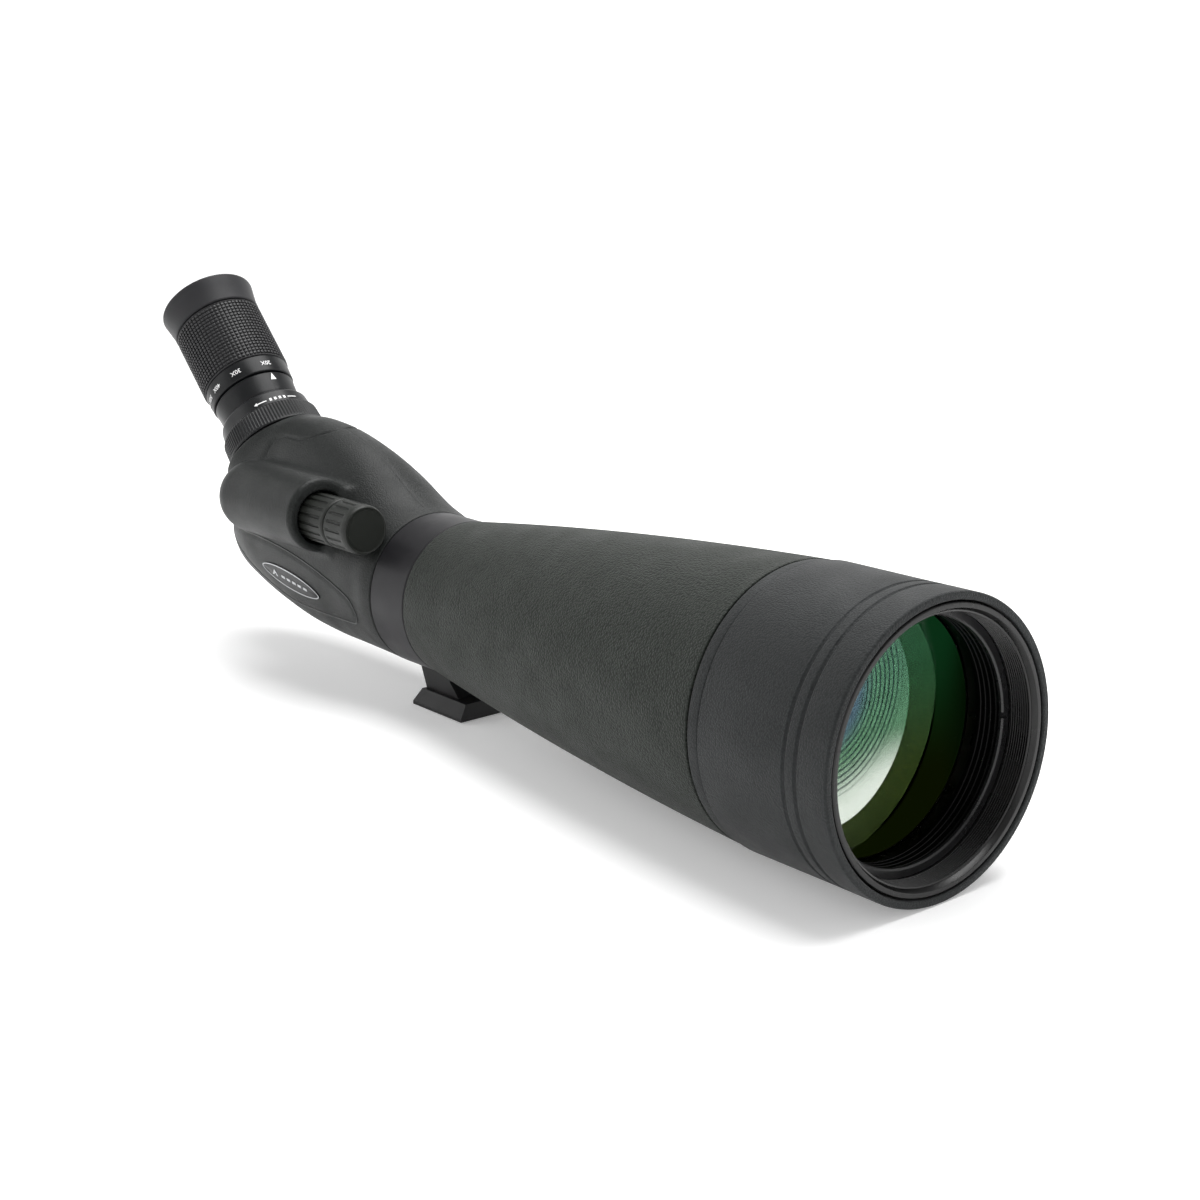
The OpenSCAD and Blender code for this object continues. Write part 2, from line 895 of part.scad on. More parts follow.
module eyepiece_body() {
    color("#1c1d1f")
    turned_eyepiece([
        [13.5, nose_s], [nose_r - 0.3, nose_s], [nose_r, nose_s + 0.5], [nose_r, shoulder_s],
        [19.5, shoulder_s], [19.5, lock_top_s + 0.4], [21.3, lock_top_s + 0.4],
        [21.6, lock_top_s + 2], [22.4, index_top_s - 0.6], [22, index_top_s],
        [core_r, index_top_s], [core_r, core_s - 0.1], [13.5, core_s - 0.1]]);
}

// a small raised triangle pointing at the zoom scale
module index_mark() {
    color("white")
    on_eyepiece()
        rotate([0, 0, 5])
            translate([22, 0, 101.5])
                rotate([0, 86, 0])
                    translate([0, 0, -0.9])
                        linear_extrude(1.2)
                            polygon([[-2.6, 0], [1.4, 1.3], [1.4, -1.3]]);
}

module eyepiece_core() {
    color("#2a2b2d")
    eyepiece_ring(core_s, core_top_s, core_bore_r, core_r);
}

module field_lens() {
    color(glass_green, 0.5)
    turned_eyepiece(concat(
        lens_face(13.4, 50, 60, -1),
        reversed(lens_face(13.4, 53, 60, 1))));
}

module lock_ring() {
    bore = 19.5 + running;
    color("#1a1b1d")
    turned_eyepiece([
        [bore, 71.8], [27.2, 71.8], [27.6, 72.3], [26.9, 83.4], [26.2, 84.2],
        [25.4, 84.6], [24.5, 91.8], [23.7, 92.8], [bore, 92.8]]);
}

module zoom_barrel() {
    color("#1a1b1d")
    eyepiece_ring(scale_s, grip_top_s, 17, 19);
}

module zoom_cam() {
    color("#7c7e82")
    eyepiece_ring(107, 150, core_r + running, 17);
}

module scale_ring() {
    color("#1d1e20")
    turned_eyepiece([
        [19, scale_s], [22.7, scale_s], [23.1, scale_s + 0.5],
        [23.6, scale_top_s - 0.4], [23.2, scale_top_s], [19, scale_top_s]]);
}

module zoom_grip() {
    color("#151618")
    turned_eyepiece([
        [19, scale_top_s + 0.3], [grip_r - 0.6, scale_top_s + 0.3],
        [grip_r, scale_top_s + 1], [grip_r, grip_top_s - 0.7],
        [grip_r - 0.5, grip_top_s], [19, grip_top_s]]);
}

// a sliding lens mount with its glass, as one moving cell
module zoom_cell(s, curvature) {
    turned_eyepiece([
        [12, s], [core_bore_r - running, s], [core_bore_r - running, s + 6],
        [12.5, s + 6], [12.5, s + 0.8], [12, s + 0.8]]);
    turned_eyepiece(concat(
        lens_face(12.5, s + 1.5, curvature, -1),
        reversed(lens_face(12.5, s + 4.5, curvature, 1))));
}

module zoom_cell_front() {
    color(glass_green)
    zoom_cell(78, 70);
}

module zoom_cell_rear() {
    color(glass_green)
    zoom_cell(128, 50);
}

module eye_lens_cell() {
    color("#1a1a1c")
    turned_eyepiece([
        [11.4, 148], [core_bore_r - 0.05, 148], [core_bore_r - 0.05, core_top_s],
        [12.4, core_top_s], [12.4, 149.2], [11.4, 149.2]]);
}

module eye_lens() {
    color(glass_green, 0.5)
    turned_eyepiece(concat(
        lens_face(12.3, 151, 40, -1),
        reversed(lens_face(12.3, 155.5, 40, 1))));
}

module eyecup_guide() {
    color("#3a3b3e")
    eyepiece_ring(151.2, 166, core_r + running, 16.6);
}

module eyecup_sleeve() {
    color("#2a2b2e")
    eyepiece_ring(cup_s + 0.1, 168, 16.6 + running, 18.6);
}

module eyecup() {
    color("#121314")
    turned_eyepiece([
        [18.6, cup_s], [24.1, cup_s], [24.4, cup_s + 0.5], [24.4, cup_s + 4],
        [25.2, cup_s + 9], [cup_r, cup_top_s - 1], [cup_r - 0.4, cup_top_s],
        [23.4, cup_top_s], [20.4, cup_top_s - 4], [18.6, cup_top_s - 4]]);
}

tripod_collar();
collar_liner();
tripod_foot();
thread_insert();
foot_screws();
clamp_pad();
clamp_screw();
clamp_knob();
main_tube();
tube_armor();
front_band();
tube_baffles();
shade_guides();
objective_cell();
objective_o_ring();
objective_front_element();
lens_spacer();
objective_rear_element();
lens_sleeve();
retaining_ring();
sunshade();
tube_flange();
housing_right();
housing_left();
spine_cover();
badge_plate();
housing_screws();
prism_holder();
roof_prism();
prism_clamp();
guide_rods();
focus_bushing();
coarse_shaft();
coarse_knob();
fine_shaft();
fine_knob();
fine_knob_cap();
focus_carriage();
focus_nut();
focus_lens_cell();
focus_lens();
eyepiece_seat();
port_seal();
eyepiece_body();
index_mark();
eyepiece_core();
field_lens();
lock_ring();
zoom_barrel();
zoom_cam();
scale_ring();
zoom_grip();
zoom_cell_front();
zoom_cell_rear();
eye_lens_cell();
eye_lens();
eyecup_guide();
eyecup_sleeve();
eyecup();
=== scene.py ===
import json
import math

import bmesh
import bpy
import numpy as np
from mathutils import Matrix, Vector


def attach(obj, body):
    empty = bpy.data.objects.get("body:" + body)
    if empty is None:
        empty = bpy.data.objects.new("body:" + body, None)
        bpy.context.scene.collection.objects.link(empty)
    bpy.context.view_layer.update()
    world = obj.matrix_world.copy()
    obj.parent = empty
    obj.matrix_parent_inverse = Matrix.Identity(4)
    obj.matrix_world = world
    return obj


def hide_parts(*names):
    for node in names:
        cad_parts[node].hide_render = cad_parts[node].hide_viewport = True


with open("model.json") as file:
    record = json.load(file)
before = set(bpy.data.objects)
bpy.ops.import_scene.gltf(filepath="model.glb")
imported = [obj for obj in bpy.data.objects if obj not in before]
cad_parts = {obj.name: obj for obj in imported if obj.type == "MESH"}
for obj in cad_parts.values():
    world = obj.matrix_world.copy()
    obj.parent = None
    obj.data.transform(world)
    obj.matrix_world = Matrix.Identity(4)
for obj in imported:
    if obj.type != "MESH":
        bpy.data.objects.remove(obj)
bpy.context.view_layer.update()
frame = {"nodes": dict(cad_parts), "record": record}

MM = 0.001                   # Blender works in metres, the object's sizes are in mm
AXIS = 54.0                  # height of the optical axis
FOCUS_Y, FOCUS_Z = -38.0, 89.0   # axis of the focus knobs
FOLD = -116.0                # where the optical axis turns up by 45 degrees
S2 = math.sqrt(0.5)


# ---------------------------------------------------------------- places
def on_tube(r, x, a):
    """The point at radius r and angle a round the optical axis."""
    return (x, r * math.cos(a), AXIS + r * math.sin(a))


def on_focus(r, x, a):
    """The same round the axis of the focus knobs."""
    return (x, FOCUS_Y + r * math.cos(a), FOCUS_Z + r * math.sin(a))


def on_eyepiece(r, s, a):
    """The same round the eyepiece's axis, with s measured from the fold."""
    u = r * math.cos(a)
    return (FOLD - S2 * s + S2 * u, r * math.sin(a), AXIS + S2 * s + S2 * u)


# ---------------------------------------------------------------- mesh tools
STRAIGHT = 0.985             # cosine of the largest turn that is left as it is


def even(a, b, n):
    return [a + (b - a) * i / n for i in range(n + 1)]


def softened(points, size=0.4, steps=3):
    """A closed outline with each corner turned into a small curve."""
    out = []
    n = len(points)
    for i in range(n):
        a, b, c = (np.array(points[(i + k) % n], float) for k in (-1, 0, 1))
        la, lc = np.linalg.norm(a - b), np.linalg.norm(c - b)
        if la < 1e-6 or lc < 1e-6:
            continue
        turn = np.dot((b - a) / la, (c - b) / lc)
        if turn > STRAIGHT:
            out.append(tuple(b))
            continue
        cut = min(size, 0.42 * la, 0.42 * lc)
        p, q = b + (a - b) / la * cut, b + (c - b) / lc * cut
        for k in range(steps + 1):
            t = k / steps
            out.append(tuple((1 - t) ** 2 * p + 2 * t * (1 - t) * b + t * t * q))
    return out


def finish_mesh(name, verts, faces, angle=40):
    """A closed mesh from points in mm, smooth but for edges sharper than the angle."""
    mesh = bpy.data.meshes.new(name)
    mesh.from_pydata([tuple(c * MM for c in v) for v in verts], [], faces)
    bm = bmesh.new()
    bm.from_mesh(mesh)
    bmesh.ops.remove_doubles(bm, verts=bm.verts, dist=1e-7)
    bmesh.ops.recalc_face_normals(bm, faces=bm.faces)
    bm.to_mesh(mesh)
    bm.free()
    mesh.shade_smooth()
    mesh.set_sharp_from_angle(angle=math.radians(angle))
    return mesh


def add(name, mesh, body, slot, mat, *nodes):
    """A visible piece that rides on a body, in the place of the CAD nodes given."""
    obj = bpy.data.objects.new(name, mesh)
    bpy.context.scene.collection.objects.link(obj)
    obj.data.materials.clear()
    obj.data.materials.append(mat)
    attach(obj, body)
    if nodes:
        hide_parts(*nodes)
    return obj


def turned(profile, place, turns=192, shape=None):
    """Verts and faces of a closed outline of (radius, distance) turned about an axis."""
    verts, faces = [], []
    n = len(profile)
    for k in range(turns):
        a = 2 * math.pi * k / turns
        for r, x in profile:
            rr, xx = shape(r, x, a) if shape else (r, x)
            verts.append(place(rr, xx, a))
    for k in range(turns):
        m = (k + 1) % turns
        for i in range(n):
            j = (i + 1) % n
            faces.append((k * n + i, k * n + j, m * n + j, m * n + i))
    return verts, faces


def lathe(name, profile, place, body, slot, mat, *nodes, turns=192, soft=0.4, shape=None,
          angle=40):
    """A turned piece with softened corners."""
    verts, faces = turned(softened(profile, soft), place, turns, shape)
    return add(name, finish_mesh(name, verts, faces, angle), body, slot, mat, *nodes)


def solid_of(points, place, turns=192):
    """Verts and faces of an outline that starts and ends on the axis, turned about it."""
    verts, faces = [place(points[0][0], points[0][1], 0)], []
    inner = points[1:-1]
    n = len(inner)
    for k in range(turns):
        a = 2 * math.pi * k / turns
        verts += [place(r, x, a) for r, x in inner]
    verts.append(place(points[-1][0], points[-1][1], 0))
    for k in range(turns):
        m = (k + 1) % turns
        faces.append((0, 1 + k * n, 1 + m * n))
        for i in range(n - 1):
            faces.append((1 + k * n + i, 1 + k * n + i + 1, 1 + m * n + i + 1, 1 + m * n + i))
        faces.append((len(verts) - 1, 1 + m * n + n - 1, 1 + k * n + n - 1))
    return verts, faces


def smoothstep(t):
    t = np.clip(t, 0, 1)
    return t * t * (3 - 2 * t)


# ---------------------------------------------------------------- materials
def material(name, color, rough, grain=0.0, grain_scale=1500.0, speckle=0.0, spread=0.12,
             metallic=0.0, spec=0.5, fine=0.0, fine_scale=4000.0, sheen=0.0, brushed=None,
             wear=0.0, wear_color=(0.2, 0.2, 0.2), gleam=(1, 1, 1)):
    """A surface with colour variation, uneven gloss, a grain relief and worn edges."""
    m = bpy.data.materials.new(name)
    m.use_nodes = True
    t = m.node_tree
    t.nodes.clear()
    new, link = t.nodes.new, t.links.new
    out = new("ShaderNodeOutputMaterial")
    b = new("ShaderNodeBsdfPrincipled")
    link(b.outputs["BSDF"], out.inputs["Surface"])
    b.inputs["Metallic"].default_value = metallic
    b.inputs["Specular IOR Level"].default_value = spec
    b.inputs["Specular Tint"].default_value = (*gleam, 1)
    if sheen:
        b.inputs["Sheen Weight"].default_value = sheen
        b.inputs["Sheen Roughness"].default_value = 0.5
    co = new("ShaderNodeTexCoord")
    cloud = new("ShaderNodeTexNoise")
    cloud.inputs["Scale"].default_value = 22.0
    cloud.inputs["Detail"].default_value = 5.0
    link(co.outputs["Object"], cloud.inputs["Vector"])
    ramp = new("ShaderNodeValToRGB")
    ramp.color_ramp.elements[0].position = 0.3
    ramp.color_ramp.elements[1].position = 0.7
    lo = [c * (1 - spread) for c in color]
    hi = [min(1, c * (1 + spread)) for c in color]
    ramp.color_ramp.elements[0].color = (*lo, 1)
    ramp.color_ramp.elements[1].color = (*hi, 1)
    link(cloud.outputs["Fac"], ramp.inputs["Fac"])
    base = ramp.outputs["Color"]
    grains = None
    if grain or speckle:
        grains = new("ShaderNodeTexVoronoi")
        grains.feature = "SMOOTH_F1"
        grains.inputs["Scale"].default_value = grain_scale
        grains.inputs["Smoothness"].default_value = 0.6
        grains.inputs["Randomness"].default_value = 1.0
        link(co.outputs["Object"], grains.inputs["Vector"])
    if speckle:
        mix = new("ShaderNodeMix")
        mix.data_type = "RGBA"
        mix.blend_type = "MULTIPLY"
        shade = new("ShaderNodeValToRGB")
        shade.color_ramp.elements[0].position = 0.1
        shade.color_ramp.elements[1].position = 0.8
        light = 1.0 + 0.35 * speckle
        shade.color_ramp.elements[0].color = (light, light, light, 1)
        dark = 1.0 - 0.75 * speckle
        shade.color_ramp.elements[1].color = (dark, dark, dark, 1)
        link(grains.outputs["Distance"], shade.inputs["Fac"])
        # a colour mix takes its colours at sockets 6 and 7 and gives them at 2
        mix.inputs["Factor"].default_value = 1.0
        link(base, mix.inputs[6])
        link(shade.outputs["Color"], mix.inputs[7])
        base = mix.outputs[2]
    if wear:
        geo = new("ShaderNodeNewGeometry")
        edge = new("ShaderNodeMapRange")
        edge.inputs["From Min"].default_value = 0.52
        edge.inputs["From Max"].default_value = 0.62
        edge.inputs["To Max"].default_value = wear
        link(geo.outputs["Pointiness"], edge.inputs["Value"])
        mix = new("ShaderNodeMix")
        mix.data_type = "RGBA"
        link(edge.outputs["Result"], mix.inputs["Factor"])
        link(base, mix.inputs[6])
        mix.inputs[7].default_value = (*wear_color, 1)
        base = mix.outputs[2]
    link(base, b.inputs["Base Color"])
    gloss = new("ShaderNodeTexNoise")
    gloss.inputs["Scale"].default_value = 60.0
    gloss.inputs["Detail"].default_value = 6.0
    link(co.outputs["Object"], gloss.inputs["Vector"])
    span = new("ShaderNodeMapRange")
    span.inputs["From Min"].default_value = 0.3
    span.inputs["From Max"].default_value = 0.7
    span.inputs["To Min"].default_value = max(0.02, rough - 0.06)
    span.inputs["To Max"].default_value = min(1.0, rough + 0.06)
    link(gloss.outputs["Fac"], span.inputs["Value"])
    link(span.outputs["Result"], b.inputs["Roughness"])
    normal = None
    if grain:
        bump = new("ShaderNodeBump")
        bump.inputs["Strength"].default_value = grain
        bump.inputs["Distance"].default_value = 0.0004
        bump.invert = True
        link(grains.outputs["Distance"], bump.inputs["Height"])
        normal = bump.outputs["Normal"]
    if fine:
        dust = new("ShaderNodeTexNoise")
        dust.inputs["Scale"].default_value = fine_scale
        dust.inputs["Detail"].default_value = 3.0
        if brushed:
            shape = new("ShaderNodeMapping")
            shape.inputs["Scale"].default_value = brushed
            link(co.outputs["Object"], shape.inputs["Vector"])
            link(shape.outputs["Vector"], dust.inputs["Vector"])
        else:
            link(co.outputs["Object"], dust.inputs["Vector"])
        bump = new("ShaderNodeBump")
        bump.inputs["Strength"].default_value = fine
        bump.inputs["Distance"].default_value = 0.0002
        link(dust.outputs["Fac"], bump.inputs["Height"])
        if normal is not None:
            link(normal, bump.inputs["Normal"])
        normal = bump.outputs["Normal"]
    if normal is not None:
        link(normal, b.inputs["Normal"])
    return m


def glass(name, tint, ior, level, body=(1, 1, 1)):
    """Clear glass whose reflections carry the tint of its coating."""
    m = bpy.data.materials.new(name)
    m.use_nodes = True
    b = m.node_tree.nodes["Principled BSDF"]
    b.inputs["Base Color"].default_value = (*body, 1)
    b.inputs["Roughness"].default_value = 0.0
    b.inputs["IOR"].default_value = ior
    b.inputs["Transmission Weight"].default_value = 1.0
    b.inputs["Specular IOR Level"].default_value = level
    b.inputs["Specular Tint"].default_value = (*tint, 1)
    return m


# spacing in mm of the painted reflections of the thread rings
REFLECTED_RING_PITCH = 2.2


def painted_reflection_stack(name):
    """Black glass with painted reflections: each disc is a painted reflection of the round mouth
    in one lens surface, with its own tint; the outer disc is a painted glow.
    """
    m = bpy.data.materials.new(name)
    m.use_nodes = True
    t = m.node_tree
    new, link = t.nodes.new, t.links.new
    b = t.nodes["Principled BSDF"]
    b.inputs["Metallic"].default_value = 1.0
    b.inputs["Roughness"].default_value = 0.0
    # emission carries the outer disc's painted glow
    b.inputs["Emission Strength"].default_value = 1.0
    co = new("ShaderNodeTexCoord")
    parts = new("ShaderNodeSeparateXYZ")
    link(co.outputs["Object"], parts.inputs["Vector"])

    def calc(kind, a, c=0.0, d=0.0):
        node = new("ShaderNodeMath")
        node.operation = kind
        for socket, value in zip(node.inputs, (a, c, d)):
            if isinstance(value, (int, float)):
                socket.default_value = value
            else:
                link(value, socket)
        return node.outputs[0]

    def span(value, low, high, to_low=0.0, to_high=1.0):
        node = new("ShaderNodeMapRange")
        node.interpolation_type = "SMOOTHSTEP"
        for key, number in (("From Min", low), ("From Max", high), ("To Min", to_low),
                            ("To Max", to_high)):
            node.inputs[key].default_value = number
        link(value, node.inputs["Value"])
        return node.outputs["Result"]

    def away(y, z):
        """Distance from a line along X, placed in mm from the optical axis."""
        across = calc("SUBTRACT", parts.outputs["Y"], y * MM)
        up = calc("SUBTRACT", parts.outputs["Z"], (AXIS + z) * MM)
        return calc("SQRT", calc("ADD", calc("MULTIPLY", across, across),
                                 calc("MULTIPLY", up, up)))

    def blend(amount, low, high):
        node = new("ShaderNodeMix")
        node.data_type = "RGBA"
        link(amount, node.inputs["Factor"])
        for socket, value in ((node.inputs[6], low), (node.inputs[7], high)):
            if isinstance(value, tuple):
                socket.default_value = (*value, 1)
            else:
                link(value, socket)
        return node.outputs[2]

    # the painted reflections: outer, middle and inner disc, each with a painted tint that changes
    # from its lower to its upper part, the outer disc darker towards one side
    height = span(parts.outputs["Z"], (AXIS - 26) * MM, (AXIS + 32) * MM)
    side = span(parts.outputs["Y"], 36 * MM, 52 * MM)
    painted_outer_glow = blend(height, (0.0030, 0.0050, 0.0004), (0.0030, 0.0260, 0.0075))
    painted_outer_glow = blend(side, painted_outer_glow, (0.0010, 0.0040, 0.0008))
    middle = blend(height, (0.0130, 0.0210, 0.0045), (0.0100, 0.0420, 0.0180))
    inner = blend(height, (0.0600, 0.1300, 0.0700), (0.0380, 0.1000, 0.0600))
    # on the inner disc a painted bluish core, fine painted reflections of the thread rings round
    # it and a painted highlight below them
    reflected_ring_reach = away(-18, 14)
    low_side = span(parts.outputs["Z"], (AXIS - 2) * MM, (AXIS - 26) * MM)
    glow = calc("MULTIPLY", span(reflected_ring_reach, 22 * MM, 46 * MM), low_side)
    inner = blend(glow, inner, (0.42, 0.46, 0.41))
    core = span(reflected_ring_reach, 25 * MM, 15 * MM)
    inner = blend(core, inner, (0.036, 0.066, 0.086))
    wave = calc("SINE", calc("MULTIPLY", reflected_ring_reach, 2 * math.pi / (REFLECTED_RING_PITCH * MM)))
    zone = calc("MULTIPLY", span(reflected_ring_reach, 17 * MM, 21 * MM),
                span(reflected_ring_reach, 40 * MM, 34 * MM))
    lines = calc("MULTIPLY", zone, span(wave, 0.1, 0.75, 0.0, 0.8))
    inner = blend(lines, inner, (0.010, 0.022, 0.022))
    # the painted reflections' edges
    outside = span(away(-12, 4), 47.9 * MM, 48.4 * MM)
    color = blend(outside, middle, (0.001, 0.001, 0.001))
    color = blend(span(away(-18, 7), 41.4 * MM, 41.8 * MM), inner, color)
    # the outer disc's tint is emitted: a painted glow with no lamp behind it
    link(blend(outside, (0, 0, 0), painted_outer_glow), b.inputs["Emission Color"])
    link(color, b.inputs["Base Color"])
    return m


ARMOR = material("armor_rubber", (0.0130, 0.0158, 0.0130), 0.6, grain=1.0, grain_scale=1150,
                 speckle=1.0, spread=0.04, spec=0.24, fine=0.3, fine_scale=2600, sheen=0.035,
                 gleam=(0.93, 1.0, 0.92))
HOOD = material("hood_rubber", (0.0092, 0.0102, 0.0102), 0.58, grain=0.5, grain_scale=1400,
                speckle=0.9, spread=0.04, spec=0.28, fine=0.3, fine_scale=2600, sheen=0.04,
                gleam=(0.94, 0.98, 1.0))
# lighter than the housing: a painted highlight along the panel bead's ridge
BEAD_PAINTED_HIGHLIGHT = material("bead_painted_highlight", (0.0260, 0.0280, 0.0275), 0.4, spec=0.4, fine=0.1)
HOUSING = material("housing_rubber", (0.0118, 0.0134, 0.0127), 0.45, grain=0.35,
                   grain_scale=1500, speckle=0.6, spread=0.05, spec=0.21, fine=0.2,
                   fine_scale=3200)
KNOB = material("knob_rubber", (0.0120, 0.0135, 0.0115), 0.45, spec=0.25, fine=0.25,
                fine_scale=2400)
COLLAR = material("collar_paint", (0.0095, 0.0090, 0.0108), 0.42, spec=0.21, spread=0.06,
                  fine=0.18, fine_scale=1800, wear=0.2, wear_color=(0.05, 0.05, 0.05))
FOOT = material("foot_paint", (0.0035, 0.0035, 0.0040), 0.4, spec=0.2, spread=0.06, fine=0.2,
                fine_scale=1500, wear=0.25, wear_color=(0.04, 0.04, 0.04))
BLACK = material("black_anodised", (0.004, 0.004, 0.004), 0.34, spec=0.26, fine=0.15,
                 fine_scale=2500)
MATT = material("matt_black", (0.0012, 0.0012, 0.0012), 0.9, spec=0.04, fine=0.3,
                fine_scale=1500)
THREAD = material("thread_black", (0.0035, 0.0035, 0.0035), 0.28, spec=0.38, fine=0.1,
                  fine_scale=2500)
SLEEVE = material("sleeve_black", (0.0015, 0.0015, 0.0015), 0.3, spec=0.1, fine=0.1,
                  fine_scale=2500)
GREYRING = material("grey_anodised", (0.010, 0.010, 0.0105), 0.3, spec=0.45, fine=0.35,
                    fine_scale=2200)
EYEBLACK = material("eyepiece_black", (0.0060, 0.0065, 0.0072), 0.34, spec=0.24, fine=0.14,
                    fine_scale=2500, spread=0.1)
GRIP = material("grip_rubber", (0.0135, 0.0135, 0.0148), 0.4, spec=0.4, fine=0.2,
                fine_scale=3000, spread=0.06)
CUP = material("cup_rubber", (0.0135, 0.0135, 0.0152), 0.52, spec=0.24, fine=0.2,
               fine_scale=2200, sheen=0.05, spread=0.06)
SEAL = material("seal_rubber", (0.008, 0.008, 0.008), 0.6, spec=0.3, fine=0.2)
WHITE = material("white_paint", (0.78, 0.78, 0.78), 0.45, spread=0.03, fine=0.1)
STEEL = material("steel", (0.5, 0.5, 0.51), 0.3, metallic=1.0, fine=0.3, fine_scale=600,
                 brushed=(0.05, 1, 1))
BRASS = material("turned_brass", (0.68, 0.5, 0.22), 0.3, metallic=1.0, fine=0.3,
                 fine_scale=600, brushed=(1, 0.1, 0.1))
NYLON = material("nylon", (0.6, 0.58, 0.52), 0.5, fine=0.2)
RIMLINE = material("badge_line", (0.42, 0.43, 0.44), 0.3, metallic=0.6, fine=0.1)
LENS = glass("clear_glass", (0.25, 0.80, 0.20), 1.002, 0.5)
# painted reflections, worn by the rear lens's front face
PAINTED_REFLECTIONS = painted_reflection_stack("lens_painted_reflections")
REARLENS = glass("rear_lens_glass", (0.55, 1.0, 0.72), 1.5, 0.8)
PRISM = glass("prism_glass", (1, 1, 1), 1.52, 0.5, (0.9, 1, 0.97))

BY_SLOT = {"armor": ARMOR, "housing": HOUSING, "collar_metal": COLLAR, "black_metal": BLACK,
           "foot_metal": FOOT, "tube_metal": BLACK, "grey_ring": GREYRING, "knob": KNOB,
           "grip_rubber": GRIP, "eyepiece_black": EYEBLACK, "seal": SEAL, "nylon": NYLON,
           "steel": STEEL, "brass": BRASS, "optical_glass": REARLENS, "prism_glass": PRISM,
           "badge": EYEBLACK, "white_mark": WHITE}

for part in frame["record"]["subparts"]:
    obj = frame["nodes"][part["node"]]
    obj.data.materials.clear()
    obj.data.materials.append(BY_SLOT[part["material_slot"]])
for name in ("tube_baffles", "lens_spacer", "lens_sleeve", "eyepiece_core"):
    frame["nodes"][name].data.materials[0] = MATT
frame["nodes"]["housing_screws"].data.materials[0] = BLACK


# ---------------------------------------------------------------- tube
ARMOR_BACK, ARMOR_FRONT = 6.6, 231.2
ARMOR_THICK = 1.78


def armor_radius(x):
    """The cone's outline: a straight taper with a slight belly."""
    f = (x - ARMOR_BACK) / (ARMOR_FRONT - ARMOR_BACK)
    return 37.4 + 20.9 * f + 4 * 2.3 * f * (1 - f)


stations = even(ARMOR_BACK, ARMOR_FRONT, 80)
outline = [(armor_radius(x), x) for x in stations]
inner = [(armor_radius(x) - ARMOR_THICK, x) for x in reversed(stations)]
lathe("armor_sleeve", outline + inner, on_tube, "scope", "armor", ARMOR, "tube_armor",
      turns=320, soft=0.6)
lathe("armor_band", [(55.4, 232), (58.3, 232), (58.3, 237.8), (55.4, 237.8)], on_tube,
      "scope", "armor", HOOD, "front_band", turns=320, soft=0.7)

RIM = 306.0                  # the hood's front end
hood = [(55.95, 238.6), (59.1, 238.6), (59.15, RIM - 22.6), (58.75, RIM - 22.2),
        (58.4, RIM - 21.5), (58.75, RIM - 20.8), (59.2, RIM - 20.4), (59.2, RIM - 16.6),
        (58.8, RIM - 16.2), (58.4, RIM - 15.5), (58.8, RIM - 14.8), (59.25, RIM - 14.4),
        (59.3, RIM - 0.8), (58.8, RIM), (56.4, RIM), (55.95, RIM - 0.6)]
lathe("hood", hood, on_tube, "shade", "armor", HOOD, "sunshade", turns=320, soft=0.45)


# ---------------------------------------------------------------- prism housing
# cross sections from the optical axis: x, top, bottom, half width, narrowing of the top
STATIONS = [
    [-22.6, 37.3, -37.3, 37.3, 0], [-30, 40, -37, 37.6, 0],
    [-42, 46, -36.9, 38, 0.08], [-62, 57.8, -36.9, 38.6, 0.14],
    [-85, 66.2, -36.7, 38.8, 0.16], [-110, 71.3, -34.8, 38.8, 0.17],
    [-135, 71, -30, 38, 0.17], [-152, 58.8, -25, 35.5, 0.12],
    [-170, 40.5, -19.4, 29.5, 0.08], [-184, 27, -12.6, 21.5, 0.04],
    [-192, 19, -7, 14, 0], [-196.5, 12, 0, 6, 0]]


def station_rows(n=24):
    """The sections joined by a smooth curve through them, n rows for each gap."""
    def g(i):
        return np.array(STATIONS[min(max(i, 0), len(STATIONS) - 1)], float)

    rows = []
    for i in range(len(STATIONS) - 1):
        a, b, c, d = g(i - 1), g(i), g(i + 1), g(i + 2)
        for k in range(n):
            t = k / n
            rows.append(0.5 * (2 * b + t * (c - a) + t * t * (2 * a - 5 * b + 4 * c - d)
                               + t ** 3 * (3 * b - a - 3 * c + d)))
    rows.append(g(len(STATIONS) - 1))
    return np.array(rows)[::-1]


ROWS = station_rows()


def raw_body(x, y, z):
    """The shell's oval body, below zero inside; not yet a true distance."""
    top, bottom, width, narrow = (np.interp(x, ROWS[:, 0], ROWS[:, k]) for k in (1, 2, 3, 4))
    w = width * (1 - narrow * np.clip((z - bottom) / (top - bottom), -0.3, 1.3))
    h, mid = (top - bottom) / 2, (top + bottom) / 2
    return (np.sqrt((y / w) ** 2 + ((z - mid) / h) ** 2) - 1) * np.minimum(w, h)


def smin(a, b, k):
    """The smaller of two distances, rounded over k where they meet."""
    h = np.clip(0.5 + 0.5 * (b - a) / k, 0, 1)
    return b * (1 - h) + a * h - k * h * (1 - h)


def smax(a, b, k):
    return -smin(-a, -b, k)


def leaf_depth(x, z):
    """How far a point of the side view lies inside the leaf-shaped panel."""
    upper = 13.9 - 0.0018 * np.maximum(x + 140, 0) ** 2
    lower = -18.6 + (x + 100) ** 2 * np.where(x > -100, 0.0007, 0.005)
    return smin(smin(upper - z, z - lower, 3.0), -39.5 - x, 8.0)


SEAT_RADIUS, SEAT_BORE = 31.4, 27.1
SEAT_LOW, SEAT_TOP = 45.0, 69.0      # along the eyepiece's axis
BOSS_RADIUS, POCKET_RADIUS = 18.3, 13.2
BOSS_LIFT = 36.0                     # centre of the boss above the optical axis


